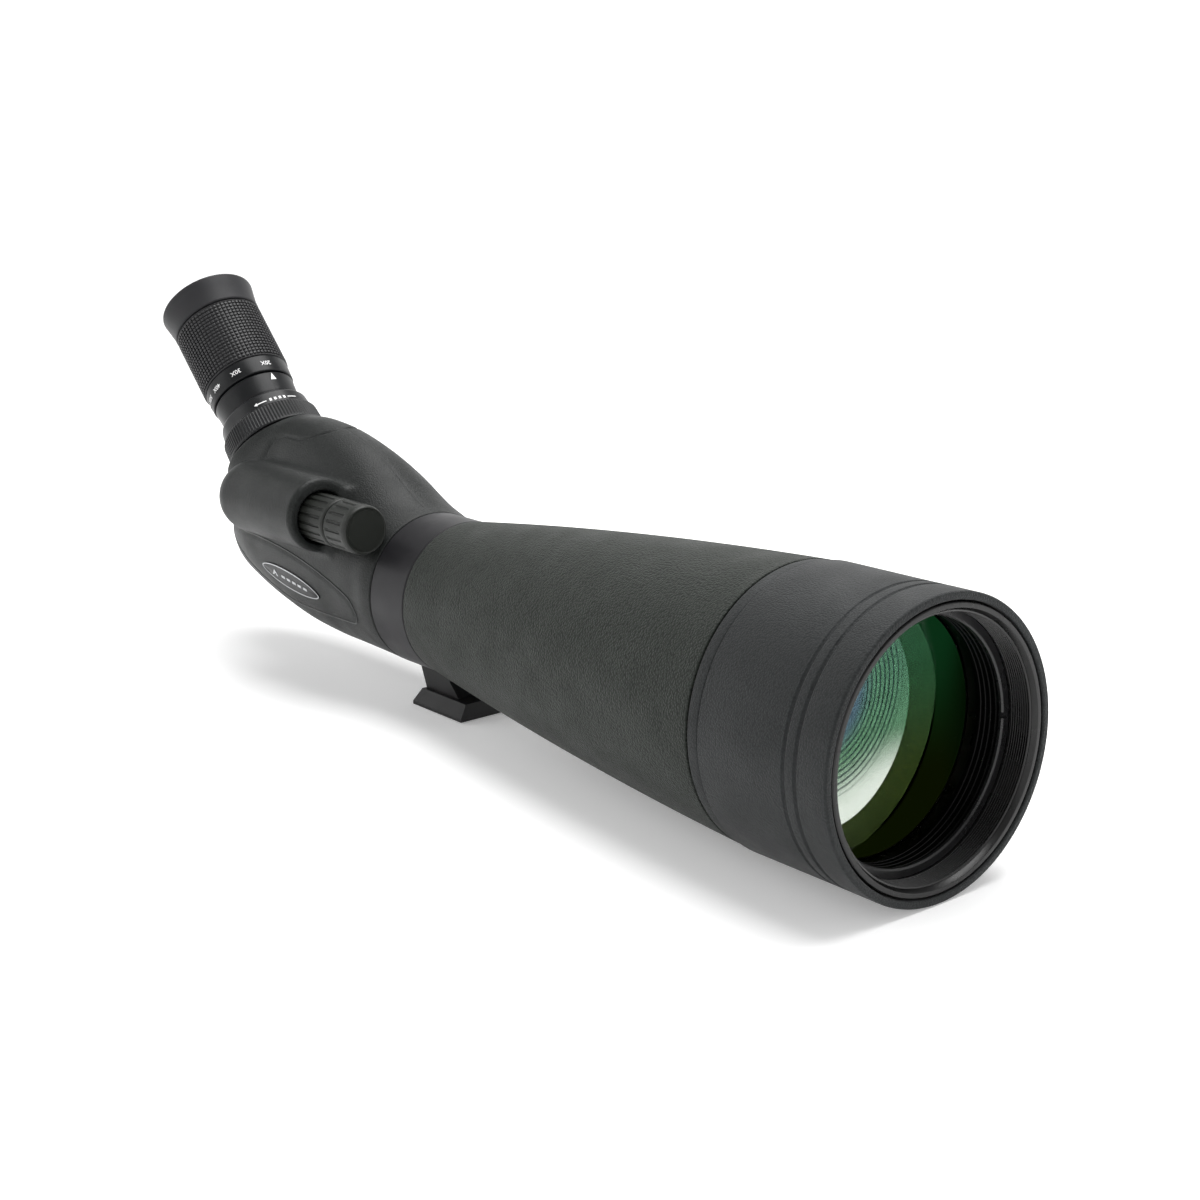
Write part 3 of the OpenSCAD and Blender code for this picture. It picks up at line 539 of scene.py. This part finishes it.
def housing_field(p):
    """Distance-like field of the prism housing; p in mm with z from the optical axis."""
    x, y, z = p[:, 0], p[:, 1], p[:, 2]
    e = 0.5
    f = raw_body(x, y, z)
    gx = (raw_body(x + e, y, z) - raw_body(x - e, y, z)) / (2 * e)
    gy = (raw_body(x, y + e, z) - raw_body(x, y - e, z)) / (2 * e)
    gz = (raw_body(x, y, z + e) - raw_body(x, y, z - e)) / (2 * e)
    body = f / np.maximum(np.sqrt(gx * gx + gy * gy + gz * gz), 0.35)
    body = smax(body, -196.4 - x, 3.0)
    # leaf-shaped relief on the right side
    leaf = leaf_depth(x, z)
    body = body - 0.5 * smoothstep(leaf / 3.2) * (y < 0)
    # boss of the focus shaft, drawn forward on its inner side
    t = np.clip(x, -126.5, -40)
    boss = np.sqrt((x - t) ** 2 + (y - FOCUS_Y) ** 2 + (z - BOSS_LIFT) ** 2) - BOSS_RADIUS
    boss = smax(boss, x + 61.2, 3.0)
    body = smin(body, boss, 6.0)
    # seat of the eyepiece
    s = S2 * (z - (x - FOLD))
    u = S2 * (z + (x - FOLD))
    r = np.sqrt(u * u + y * y)
    seat = smax(r - SEAT_RADIUS, s - SEAT_TOP, 1.6)
    seat = smax(seat, SEAT_LOW - s, 1.0)
    shell = smin(body, seat, 9.0)
    shell = smax(shell, s - SEAT_TOP, 1.2)
    # bore under the eyepiece, pocket of the knobs, open front
    shell = smax(shell, -smax(r - SEAT_BORE, 30 - s, 0.5), 0.6)
    from_knobs = np.sqrt((y - FOCUS_Y) ** 2 + (z - (FOCUS_Z - AXIS)) ** 2)
    pocket = smax(from_knobs - POCKET_RADIUS, -74.0 - x, 1.0)
    shell = smax(shell, -pocket, 1.0)
    shell = smax(shell, x + 22.7, 0.8)
    return shell


def spine_gap(p):
    """Signed distance from the joint line round the spine cover; negative on the cover."""
    x, y, z = p[:, 0], p[:, 1], p[:, 2]
    s = S2 * (z - (x - FOLD))
    u = S2 * (z + (x - FOLD))
    tongue = np.sqrt((np.maximum(x + 120, 0) * 0.8) ** 2 + y * y) - 17.0
    ring = np.sqrt(u * u + y * y) - 34.5 + np.maximum(30 - s, 0) * 0.5
    rear = np.abs(y) - 20 + np.maximum(x + 150, 0) * 0.5
    g = smin(tongue, ring, 6.0)
    return np.maximum(smin(g, rear, 6.0), -z - 12)


GROOVE_WIDTH = 0.55          # joint line round the spine cover
SEAM_WIDTH = 0.5             # joint line between the shell halves
UPPER_SEAM_SHARE = 0.12      # how much of that line shows on top
SEAM_DEPTH = 0.75


def full_field(p):
    """The housing with its joint lines sunk into it."""
    f = housing_field(p)
    gap = spine_gap(p)
    groove = np.exp(-(gap / GROOVE_WIDTH) ** 2)
    above = np.where(p[:, 2] > 0, UPPER_SEAM_SHARE, 1.0)
    middle = np.exp(-(p[:, 1] / SEAM_WIDTH) ** 2) * (gap > 0) * above
    return f + SEAM_DEPTH * np.maximum(groove, middle)


def surface_net(field, low, high, step, reach):
    """Quads on the zero level of a field, with each point moved onto it."""
    n = [int(math.ceil((h - l) / step)) + 1 for l, h in zip(low, high)]
    axes = [l + step * np.arange(k) for l, k in zip(low, n)]
    corner = [(i, j, k) for i in (0, 1) for j in (0, 1) for k in (0, 1)]
    # a rough grid finds the cells near the surface
    rough = 4
    coarse = [a[::rough] if (len(a) - 1) % rough == 0 else np.append(a[::rough], a[-1] + 3)
              for a in axes]
    grid = np.stack(np.meshgrid(*coarse, indexing="ij"), -1)
    cv = field(grid.reshape(-1, 3)).reshape(grid.shape[:3])
    idx = [np.minimum(np.arange(k) // rough, len(c) - 2) for k, c in zip(n, coarse)]
    near = np.abs(cv) < reach
    cell = np.zeros([len(c) - 1 for c in coarse], bool)
    for at in corner:
        cell |= near[tuple(slice(q, q + m) for q, m in zip(at, cell.shape))]
    # the field itself is worked out there, and elsewhere only its sign counts
    sign = np.where(cv[:-1, :-1, :-1] < 0, -1.0, 1.0)
    full = sign[np.ix_(*idx)] * 10
    mask = cell[np.ix_(*idx)]
    where = np.argwhere(mask)
    pts = np.stack([axes[k][where[:, k]] for k in range(3)], -1)
    full[mask] = field(pts)
    inside = full < 0
    # one point for each cell that the surface crosses, the mean of its crossings
    total = sum(inside[tuple(slice(q, q + m - 1) for q, m in zip(at, n))].astype(int)
                for at in corner)
    active = (total > 0) & (total < 8)
    cells = np.argwhere(active)
    index = -np.ones(active.shape, int)
    index[active] = np.arange(len(cells))
    points = np.stack([axes[k][cells[:, k]] + step / 2 for k in range(3)], -1)
    acc, cnt = np.zeros(points.shape), np.zeros(len(points))
    for i in (0, 1):
        for j in (0, 1):
            for ax in range(3):
                off0 = [0, 0, 0]
                others = [k for k in range(3) if k != ax]
                off0[others[0]], off0[others[1]] = i, j
                off1 = list(off0)
                off1[ax] = 1
                a = full[cells[:, 0] + off0[0], cells[:, 1] + off0[1], cells[:, 2] + off0[2]]
                b = full[cells[:, 0] + off1[0], cells[:, 1] + off1[1], cells[:, 2] + off1[2]]
                cross = (a < 0) != (b < 0)
                t = np.where(cross, a / np.where(cross, a - b, 1), 0)
                q = np.stack([axes[k][cells[:, k]] + step * off0[k] for k in range(3)], -1)
                q[:, ax] += t * step
                acc += q * cross[:, None]
                cnt += cross
    points = acc / np.maximum(cnt, 1)[:, None]
    # one quad for each grid edge that the surface crosses
    quads = []
    for ax in range(3):
        o1, o2 = [k for k in range(3) if k != ax]
        lo = [slice(1, m - 1) for m in n]
        hi = [slice(1, m - 1) for m in n]
        lo[ax], hi[ax] = slice(0, n[ax] - 1), slice(1, n[ax])
        a, b = inside[tuple(lo)], inside[tuple(hi)]
        edge = np.argwhere(a != b)
        start = a[a != b]
        base = edge.copy()
        base[:, o1] += 1
        base[:, o2] += 1
        ring = []
        for d1, d2 in ((1, 1), (0, 1), (0, 0), (1, 0)):
            c = base.copy()
            c[:, o1] -= d1
            c[:, o2] -= d2
            ring.append(index[c[:, 0], c[:, 1], c[:, 2]])
        q = np.stack(ring, -1)
        flip = start ^ (ax == 1)
        q[~flip] = q[~flip][:, ::-1]
        quads.append(q)
    quads = np.concatenate(quads)
    quads = quads[(quads >= 0).all(1)]

    def gradient(p):
        e = 0.15
        return np.stack([field(p + np.eye(3)[k] * e) - field(p - np.eye(3)[k] * e)
                         for k in range(3)], -1) / (2 * e)

    # two Newton steps move the points onto the surface
    for _ in range(2):
        g = gradient(points)
        v = field(points)
        move = -(v / np.maximum((g * g).sum(1), 0.2))[:, None] * g
        size = np.linalg.norm(move, axis=1, keepdims=True)
        points = points + move * np.minimum(1, 0.5 * step / np.maximum(size, 1e-9))
    g = gradient(points)
    normals = g / np.maximum(np.linalg.norm(g, axis=1, keepdims=True), 1e-9)
    return points, quads, normals


HOUSING_BOX = ((-199.2, -59.2, -39.2), (-20.0, 41.6, 76.8))    # z from the optical axis


def build_housing():
    """The two shell halves and the spine cover, cut from one smooth surface."""
    step = 0.8
    points, quads, normals = surface_net(full_field, *HOUSING_BOX, step, 6.0)
    mids = points[quads].mean(1)
    spine = spine_gap(mids) < 0
    for name, node, chosen in (
            ("shell_spine", "spine_cover", spine),
            ("shell_right", "housing_right", ~spine & (mids[:, 1] < 0)),
            ("shell_left", "housing_left", ~spine & (mids[:, 1] >= 0))):
        faces = quads[chosen]
        used, inverse = np.unique(faces.reshape(-1), return_inverse=True)
        verts = points[used] + np.array([0, 0, AXIS])
        mesh = bpy.data.meshes.new(name)
        mesh.from_pydata((verts * MM).tolist(), [], inverse.reshape(-1, 4).tolist())
        mesh.shade_smooth()
        mesh.normals_split_custom_set_from_vertices(normals[used].tolist())
        add(name, mesh, "scope", "housing", HOUSING, node)


build_housing()


# ---------------------------------------------------------------- focus knobs
KNOB_RADIUS = 12.0
FLUTES, FLUTE_DEPTH = 18, 0.75
FLUTE_SHARE = 0.3            # of the way from one flute to the next


def fluted(x0, x1):
    """Shallow rectangular flutes between x0 and x1 on a knob."""
    def shape(r, x, a):
        if r < KNOB_RADIUS - 0.9:
            return r, x
        phase = (a * FLUTES / (2 * math.pi)) % 1.0
        side = min(phase, 1 - phase) / (FLUTE_SHARE / 2)
        ends = min(x - x0, x1 - x)
        cut = smoothstep((1.25 - side) / 0.4) * smoothstep(ends / 0.5)
        return r - FLUTE_DEPTH * float(cut), x
    return shape


knob = [(4.05, -70.5), (11.2, -70.5), (11.9, -69.9)]
knob += [(KNOB_RADIUS, x) for x in even(-69.4, -42.6, 30)]
knob += [(11.7, -41.8), (11.1, -41.4), (4.05, -41.4)]
lathe("focus_knob_coarse", knob, on_focus, "coarse_drive", "knob", KNOB, "coarse_knob",
      turns=360, soft=0.25, shape=fluted(-66.0, -44.6), angle=50)
knob = [(1.6, -40.6), (11.1, -40.6), (11.8, -40.1)]
knob += [(KNOB_RADIUS, x) for x in even(-39.5, -23.6, 20)]
knob += [(11.75, -22.2), (11.35, -21.3), (10.9, -20.95), (10.5, -21.3), (1.6, -21.3)]
lathe("focus_knob_fine", knob, on_focus, "fine_drive", "knob", KNOB, "fine_knob",
      turns=360, soft=0.25, shape=fluted(-38.2, -25.6), angle=50)

# ---------------------------------------------------------------- eyepiece
lock_profile = [(20.0, 71.8), (27.1, 71.8), (27.5, 72.3)]
lock_profile += [(27.5 - 0.6 * t, 72.8 + 10.4 * t) for t in even(0, 1, 12)]
lock_profile += [(26.1, 84.15), (25.4, 84.6)]
lock_profile += [(25.3 - 0.8 * t, 85.2 + 6.4 * t) for t in even(0, 1, 6)]
lock_profile += [(23.6, 92.75), (20.0, 92.8)]


RIBS, RIB_DEPTH = 96, 0.42
RIB_START, RIB_END = 73.2, 83.8


def ribs(r, x, a):
    """Fine grip ribs along the outside of the lock ring."""
    if r < 26.3 or x < RIB_START or x > RIB_END:
        return r, x
    phase = (a * RIBS / (2 * math.pi)) % 1.0
    ends = min(x - RIB_START, RIB_END - x)
    return r - RIB_DEPTH * float(smoothstep(abs(phase - 0.5) / 0.28 - 0.45)
                                 * smoothstep(ends / 0.5)), x


lathe("lock_ring_ribbed", lock_profile, on_eyepiece, "lock", "eyepiece_black", EYEBLACK,
      "lock_ring", turns=768, soft=0.2, shape=ribs, angle=60)


STUDS_START, STUDDED_LENGTH = 117.7, 37.0


def stud_grid():
    """The zoom grip: a sleeve with rows of small square studs."""
    base = [(23.8, 116.7), (24.2, 117.1)]
    base += [(23.5, x) for x in (117.6, 154.6)]
    base += [(24.2, 155.1), (23.75, 155.55), (19.2, 155.55), (19.2, 116.7)]
    verts, faces = turned(softened(base, 0.2), on_eyepiece, 192)
    rows, columns = 18, 68
    pitch = STUDDED_LENGTH / rows
    for i in range(rows):
        s = STUDS_START + pitch * (i + 0.5)
        for j in range(columns):
            a = 2 * math.pi * j / columns
            k = len(verts)
            # foot, shoulder and top of a stud: radius, half length, half width
            for r, half, da in ((23.35, 0.36 * pitch, 0.36), (24.16, 0.33 * pitch, 0.33),
                                (24.29, 0.22 * pitch, 0.22)):
                wide = da * 2 * math.pi / columns
                for ds, dw in ((-1, -1), (1, -1), (1, 1), (-1, 1)):
                    verts.append(on_eyepiece(r, s + ds * half, a + dw * wide))
            for ring in (0, 4):
                for m in range(4):
                    q = (m + 1) % 4
                    faces.append((k + ring + m, k + ring + q, k + ring + 4 + q, k + ring + 4 + m))
            faces.append((k + 8, k + 9, k + 10, k + 11))
            faces.append((k + 3, k + 2, k + 1, k))
    return verts, faces


verts, faces = stud_grid()
add("zoom_grip_studded", finish_mesh("zoom_grip_studded", verts, faces, 35), "zoom_ring",
    "grip_rubber", GRIP, "zoom_grip")
lathe("zoom_scale_band", [(19.2, 106.6), (22.8, 106.6), (23.08, 107.0), (23.55, 116.2),
                          (23.2, 116.5), (19.2, 116.5)],
      on_eyepiece, "zoom_ring", "eyepiece_black", EYEBLACK, "scale_ring", turns=256, soft=0.25)
cup = [(18.65, 156.4), (24.0, 156.4), (24.35, 157.0), (24.4, 160.4), (25.15, 165.4),
       (26.1, 171.0), (25.95, 171.8), (25.3, 172.15), (23.6, 172.0), (22.0, 170.4),
       (20.4, 168.25), (18.65, 168.2)]
lathe("eyecup_soft", cup, on_eyepiece, "cup", "grip_rubber", CUP, "eyecup", turns=256,
      soft=0.6)


MARK_THICK = 0.14
TEXT_LIFT, TEXT_THICK = 0.05, 0.12


def wrapped_text(name, words, size, s_mid, angle, radius, body):
    """Raised figures on the eyepiece, read from the eyecup's side."""
    curve = bpy.data.curves.new(name, "FONT")
    curve.body = words
    curve.size = size
    curve.align_x = "CENTER"
    curve.align_y = "CENTER"
    curve.offset = 0.015
    curve.extrude = TEXT_THICK / 2
    curve.resolution_u = 6
    tmp = bpy.data.objects.new(name + "_tmp", curve)
    bpy.context.scene.collection.objects.link(tmp)
    deps = bpy.context.evaluated_depsgraph_get()
    mesh = bpy.data.meshes.new_from_object(tmp.evaluated_get(deps))
    bpy.data.objects.remove(tmp)
    bm = bmesh.new()
    bm.from_mesh(mesh)
    for v in bm.verts:
        a = math.radians(angle) - v.co.x / radius
        r = radius + TEXT_LIFT + v.co.z
        v.co = Vector(on_eyepiece(r, s_mid - v.co.y, a)) * MM
    bmesh.ops.recalc_face_normals(bm, faces=bm.faces)
    bm.to_mesh(mesh)
    bm.free()
    return add(name, mesh, body, "white_mark", WHITE)


for number, angle in (("20X", 3), ("30X", -40), ("40X", -75), ("50X", -99), ("60X", -118)):
    wrapped_text("mark_" + number, number, 3.5, 111.4, angle, 23.36, "zoom_ring")


def strip_on(name, outline, radius, body, *nodes, cuts):
    """A thin raised mark on the eyepiece: (angle in degrees, distance) at radius(distance)."""
    bm = bmesh.new()
    verts = [bm.verts.new((a, s, 0)) for a, s in outline]
    face = bm.faces.new(verts)
    bmesh.ops.triangulate(bm, faces=[face])
    bmesh.ops.subdivide_edges(bm, edges=bm.edges[:], cuts=cuts, use_grid_fill=True)
    bmesh.ops.triangulate(bm, faces=bm.faces[:])
    result = bmesh.ops.extrude_face_region(bm, geom=bm.faces[:])
    for v in result["geom"]:
        if isinstance(v, bmesh.types.BMVert):
            v.co.z = MARK_THICK
    for v in bm.verts:
        r = radius(v.co.y) + v.co.z
        v.co = Vector(on_eyepiece(r, v.co.y, math.radians(v.co.x))) * MM
    bmesh.ops.recalc_face_normals(bm, faces=bm.faces)
    mesh = bpy.data.meshes.new(name)
    bm.to_mesh(mesh)
    bm.free()
    return add(name, mesh, body, "white_mark", WHITE, *nodes)


strip_on("index_triangle", [(5 - 4.2, 101.0), (5 + 4.2, 101.0), (5, 105.0)],
         lambda s: 21.95 + (s - 100) * 0.088, "scope", "index_mark", cuts=3)


def band_r(s):
    """Radius of the lock ring's smooth band."""
    return 25.32 - 0.8 * (s - 85.2) / 6.4


strip_on("lock_bar_left", [(-34, 86.4), (-22, 86.4), (-22, 87.0), (-34, 87.0)], band_r, "lock",
         cuts=6)
strip_on("lock_bar_right", [(6, 86.4), (18, 86.4), (18, 87.0), (6, 87.0)], band_r, "lock",
         cuts=6)
strip_on("lock_arrow", [(-38, 86.7), (-34, 85.6), (-34, 87.8)], band_r, "lock", cuts=3)
for i in range(4):
    a = -18 + 6.0 * i
    strip_on("lock_dot_%d" % i, [(a, 85.8), (a + 2.9, 85.8), (a + 2.9, 87.6), (a, 87.6)],
             band_r, "lock", cuts=3)


# ---------------------------------------------------------------- badge
def side_surface(xs, zs):
    """How far out the right side lies at each (x, z), z from the optical axis."""
    low, high = np.full(xs.shape, -58.0), np.full(xs.shape, -10.0)
    for _ in range(30):
        mid = (low + high) / 2
        outside = housing_field(np.stack([xs, mid, zs], -1)) > 0
        low, high = np.where(outside, mid, low), np.where(outside, high, mid)
    return low


def leaf_bead():
    """A fine raised bead that follows the edge of the leaf-shaped panel, lighter than the housing
    as a painted highlight along its ridge.
    """
    turns, sides, size = 420, 8, 0.42
    a = np.linspace(0, 2 * math.pi, turns, endpoint=False)
    low, high = np.zeros(turns), np.full(turns, 95.0)
    for _ in range(40):
        mid = (low + high) / 2
        inside = leaf_depth(-100 + mid * np.cos(a), -4 + mid * 0.6 * np.sin(a)) > 0
        low, high = np.where(inside, mid, low), np.where(inside, high, mid)
    xs, zs = -100 + low * np.cos(a), -4 + low * 0.6 * np.sin(a)
    line = np.stack([xs, side_surface(xs, zs) - 0.02, zs + AXIS], -1)
    ahead = np.roll(line, -1, 0) - np.roll(line, 1, 0)
    ahead /= np.linalg.norm(ahead, axis=1, keepdims=True)
    out = np.cross(ahead, np.cross(np.array([0, -1.0, 0]), ahead))
    out /= np.linalg.norm(out, axis=1, keepdims=True)
    across = np.cross(ahead, out)
    verts = [tuple(line[i] + size * (math.cos(b) * out[i] + math.sin(b) * across[i]))
             for i in range(turns) for b in np.linspace(0, 2 * math.pi, sides, endpoint=False)]
    faces = [(i * sides + k, i * sides + (k + 1) % sides,
              (i + 1) % turns * sides + (k + 1) % sides, (i + 1) % turns * sides + k)
             for i in range(turns) for k in range(sides)]
    add("panel_bead", finish_mesh("panel_bead", verts, faces, 80), "scope", "housing",
        BEAD_PAINTED_HIGHLIGHT)


leaf_bead()


def badge():
    """A long oval plate with a bright edge line and a plain mark, on the right side."""
    half_len, half_w = 29.0, 5.7
    tilt = math.radians(-6.5)
    gx, gz = np.linspace(-138, -70, 69), np.linspace(-16, 6, 23)
    mesh_x, mesh_z = np.meshgrid(gx, gz, indexing="ij")
    gy = side_surface(mesh_x.ravel(), mesh_z.ravel()).reshape(mesh_x.shape)

    def place(u, v, h):
        x = -103.5 + u * math.cos(tilt) - v * math.sin(tilt)
        z = -4.9 + u * math.sin(tilt) + v * math.cos(tilt)
        fx = (x - gx[0]) / (gx[1] - gx[0])
        fz = (z - gz[0]) / (gz[1] - gz[0])
        i, k = int(fx), int(fz)
        fx, fz = fx - i, fz - k
        y = ((1 - fx) * (1 - fz) * gy[i, k] + fx * (1 - fz) * gy[i + 1, k]
             + (1 - fx) * fz * gy[i, k + 1] + fx * fz * gy[i + 1, k + 1])
        return (x, y - h, AXIS + z)

    def ring(scale_u, scale_v, h, n=160):
        return [place(half_len * scale_u * math.cos(t), half_w * scale_v * math.sin(t)
                      * (0.78 + 0.22 * abs(math.sin(t))), h)
                for t in (2 * math.pi * k / n for k in range(n))]

    def stack(name, levels, cap=True):
        n = 160
        verts = [v for lv in levels for v in ring(*lv, n=n)]
        faces = []
        for i in range(len(levels) - 1):
            for k in range(n):
                m = (k + 1) % n
                faces.append((i * n + k, i * n + m, (i + 1) * n + m, (i + 1) * n + k))
        if cap:
            faces.append(tuple(reversed(range(n))))
            faces.append(tuple(range((len(levels) - 1) * n, len(levels) * n)))
        else:
            last = len(levels) - 1
            faces += [(last * n + k, last * n + (k + 1) % n, (k + 1) % n, k)
                      for k in range(n)]
        return finish_mesh(name, verts, faces, 40)

    plate = stack("badge_oval", [(1, 1, -0.8), (1, 1, 0.35), (0.992, 0.965, 0.5),
                                 (0.6, 0.6, 0.5), (0.2, 0.2, 0.5)])
    add("badge_oval", plate, "scope", "badge", EYEBLACK, "badge_plate")
    line = stack("badge_edge_line", [(0.99, 0.955, 0.42), (0.986, 0.94, 0.62),
                                     (0.962, 0.83, 0.62), (0.958, 0.82, 0.42)], cap=False)
    add("badge_edge_line", line, "scope", "badge", RIMLINE)

    def mark(name, points):
        bm = bmesh.new()
        low = [bm.verts.new(Vector(place(u, v, 0.45)) * MM) for u, v in points]
        high = [bm.verts.new(Vector(place(u, v, 0.66)) * MM) for u, v in points]
        bm.faces.new(high)
        bm.faces.new(list(reversed(low)))
        for i in range(len(points)):
            j = (i + 1) % len(points)
            bm.faces.new((low[i], low[j], high[j], high[i]))
        bmesh.ops.recalc_face_normals(bm, faces=bm.faces)
        mesh = bpy.data.meshes.new(name)
        bm.to_mesh(mesh)
        bm.free()
        add(name, mesh, "scope", "badge", RIMLINE)

    mark("badge_chevron", [(-18, -1.6), (-15, 1.9), (-12, -1.6), (-13.6, -1.6), (-15, 0.1),
                           (-16.4, -1.6)])
    for i in range(5):
        u = -8 + 5.4 * i
        mark("badge_bar_%d" % i, [(u, -0.7), (u + 3.6, -0.7), (u + 3.6, 0.7), (u, 0.7)])


badge()


# ---------------------------------------------------------------- objective
cell = [(47.5, 258), (52.25, 258), (52.25, 276), (51.35, 276), (51.35, 277.6), (52.25, 277.6),
        (52.25, 299.7), (55.3, 299.7), (55.3, 305.1), (54.8, 305.6), (53.1, 305.6)]
for i in range(9):
    x = 303.6 - 1.08 * i
    cell += [(51.95, x), (51.95, x - 0.2), (51.2, x - 0.55), (51.2, x - 0.8)]
cell += [(51.6, 292.9), (51.6, 290.8), (50.2, 290.8), (50.2, 262), (47.5, 262)]
lathe("front_cell_threaded", cell, on_tube, "scope", "black_metal", THREAD, "objective_cell",
      turns=320, soft=0.12, angle=25)
sleeve = [(50.05, 278.9), (50.05, 290.8), (48.9, 290.8)]
for x in (288.6, 285.9, 283.4, 281.0):
    sleeve += [(48.9, x + 0.35), (48.55, x + 0.15), (48.55, x - 0.15), (48.9, x - 0.35)]
sleeve += [(48.9, 278.9)]
lathe("front_sleeve_ribbed", sleeve, on_tube, "scope", "black_metal", SLEEVE, "lens_sleeve",
      turns=320, soft=0.1, angle=25)


def sag(r, curve):
    """How far a round surface falls back at radius r from its middle."""
    return curve - math.sqrt(curve * curve - r * r)


def lens(name, edge, x_back, x_front, r_back, r_front, mats, node):
    """r_front > 0 bulges to +X; r_back > 0 bulges to -X, below 0 is hollow."""
    n = 40
    points = []
    for i in range(n + 1):
        r = edge * i / n
        depth = (sag(edge, abs(r_front)) - sag(r, abs(r_front))) * (1 if r_front > 0 else -1)
        points.append((r, x_front + depth))
    for i in range(n, -1, -1):
        r = edge * i / n
        depth = (sag(edge, abs(r_back)) - sag(r, abs(r_back))) * (1 if r_back > 0 else -1)
        points.append((r, x_back - depth))
    verts, faces = solid_of(points, on_tube, 256)
    mesh = finish_mesh(name, verts, faces, 40)
    obj = add(name, mesh, "scope", "optical_glass", mats[0], node)
    if len(mats) > 1:
        mesh.materials.append(mats[1])
        for face in mesh.polygons:
            face.material_index = 1 if face.normal.x < -0.5 else 0
    return obj


lens("front_lens", 50.05, 273.8, 278.2, 300, 298, [LENS], "objective_front_element")
# the rear lens's front face wears the painted reflections, its back face is clear glass
lens("rear_lens", 50.05, 258.2, 273.05, -500, -165, [PAINTED_REFLECTIONS, REARLENS],
     "objective_rear_element")


# ---------------------------------------------------------------- stage, lights, camera
def floor():
    """A sheet of pale paper that curves up far away from the part."""
    mesh = bpy.data.meshes.new("floor")
    n = 40
    tilt = -5.3 / 325
    verts = []
    for i in range(n + 1):
        for j in range(n + 1):
            x, y = -7 + 14 * i / n, -7 + 14 * j / n
            away = max(0.0, math.hypot(x, y) - 3.0)
            verts.append((x, y, (x + 0.019) * tilt - 0.0002 + 0.22 * away * away))
    faces = [(i * (n + 1) + j, (i + 1) * (n + 1) + j, (i + 1) * (n + 1) + j + 1,
              i * (n + 1) + j + 1) for i in range(n) for j in range(n)]
    mesh.from_pydata(verts, [], faces)
    mesh.shade_smooth()
    obj = bpy.data.objects.new("floor", mesh)
    bpy.context.scene.collection.objects.link(obj)
    m = bpy.data.materials.new("floor_paper")
    m.use_nodes = True
    b = m.node_tree.nodes["Principled BSDF"]
    b.inputs["Base Color"].default_value = (0.93, 0.93, 0.93, 1)
    b.inputs["Roughness"].default_value = 0.9
    b.inputs["Specular IOR Level"].default_value = 0.1
    b.inputs["Emission Color"].default_value = (1, 1, 1, 1)
    new, link = m.node_tree.nodes.new, m.node_tree.links.new
    place = new("ShaderNodeTexCoord")
    reach = new("ShaderNodeVectorMath")
    reach.operation = "LENGTH"
    link(place.outputs["Object"], reach.inputs[0])
    glow = new("ShaderNodeMapRange")
    for key, number in (("From Min", 1.4), ("From Max", 3.4), ("To Min", 0.22), ("To Max", 0.58)):
        glow.inputs[key].default_value = number
    link(reach.outputs["Value"], glow.inputs["Value"])
    link(glow.outputs["Result"], b.inputs["Emission Strength"])
    mesh.materials.append(m)


floor()


def area(name, place, target, size, power):
    """A rectangular lamp at a place in metres that points at the target."""
    light = bpy.data.lights.new(name, "AREA")
    light.shape = "RECTANGLE"
    light.size, light.size_y = size
    light.energy = power
    obj = bpy.data.objects.new(name, light)
    obj.location = place
    obj.rotation_mode = "QUATERNION"
    obj.rotation_quaternion = (Vector(target) - Vector(place)).to_track_quat("-Z", "Y")
    bpy.context.scene.collection.objects.link(obj)


area("top_softbox", (0.0, 0.35, 1.5), (0.05, 0, 0.05), (1.6, 1.2), 34)
area("left_softbox", (-0.9, -0.9, 0.9), (0, 0, 0.05), (0.9, 0.9), 2.5)

world = bpy.data.worlds.new("studio")
world.use_nodes = True
background = world.node_tree.nodes["Background"]
background.inputs["Color"].default_value = (1, 1, 1, 1)
background.inputs["Strength"].default_value = 0.35
bpy.context.scene.world = world

scene = bpy.context.scene
scene.view_settings.view_transform = "Standard"
scene.view_settings.look = "None"

CAMERA_PLACE = (0.7689, -0.5181, 0.2938)
camera = bpy.data.objects.new("camera", bpy.data.cameras.new("camera"))
camera.data.lens = 60
camera.data.sensor_width = 36
camera.data.clip_end = 50
look, rise, roll = math.radians(51.93), math.radians(-14.73), math.radians(-1.44)
forward = Vector((-math.sin(look) * math.cos(rise), math.cos(look) * math.cos(rise),
                  math.sin(rise)))
side = forward.cross(Vector((0, 0, 1))).normalized()
up = side.cross(forward)
right = side * math.cos(roll) + up * math.sin(roll)
up = right.cross(forward)
camera.matrix_world = Matrix.Translation(CAMERA_PLACE) @ Matrix(
    (right, up, -forward)).transposed().to_4x4()
scene.collection.objects.link(camera)
scene.camera = camera

bpy.context.view_layer.update()
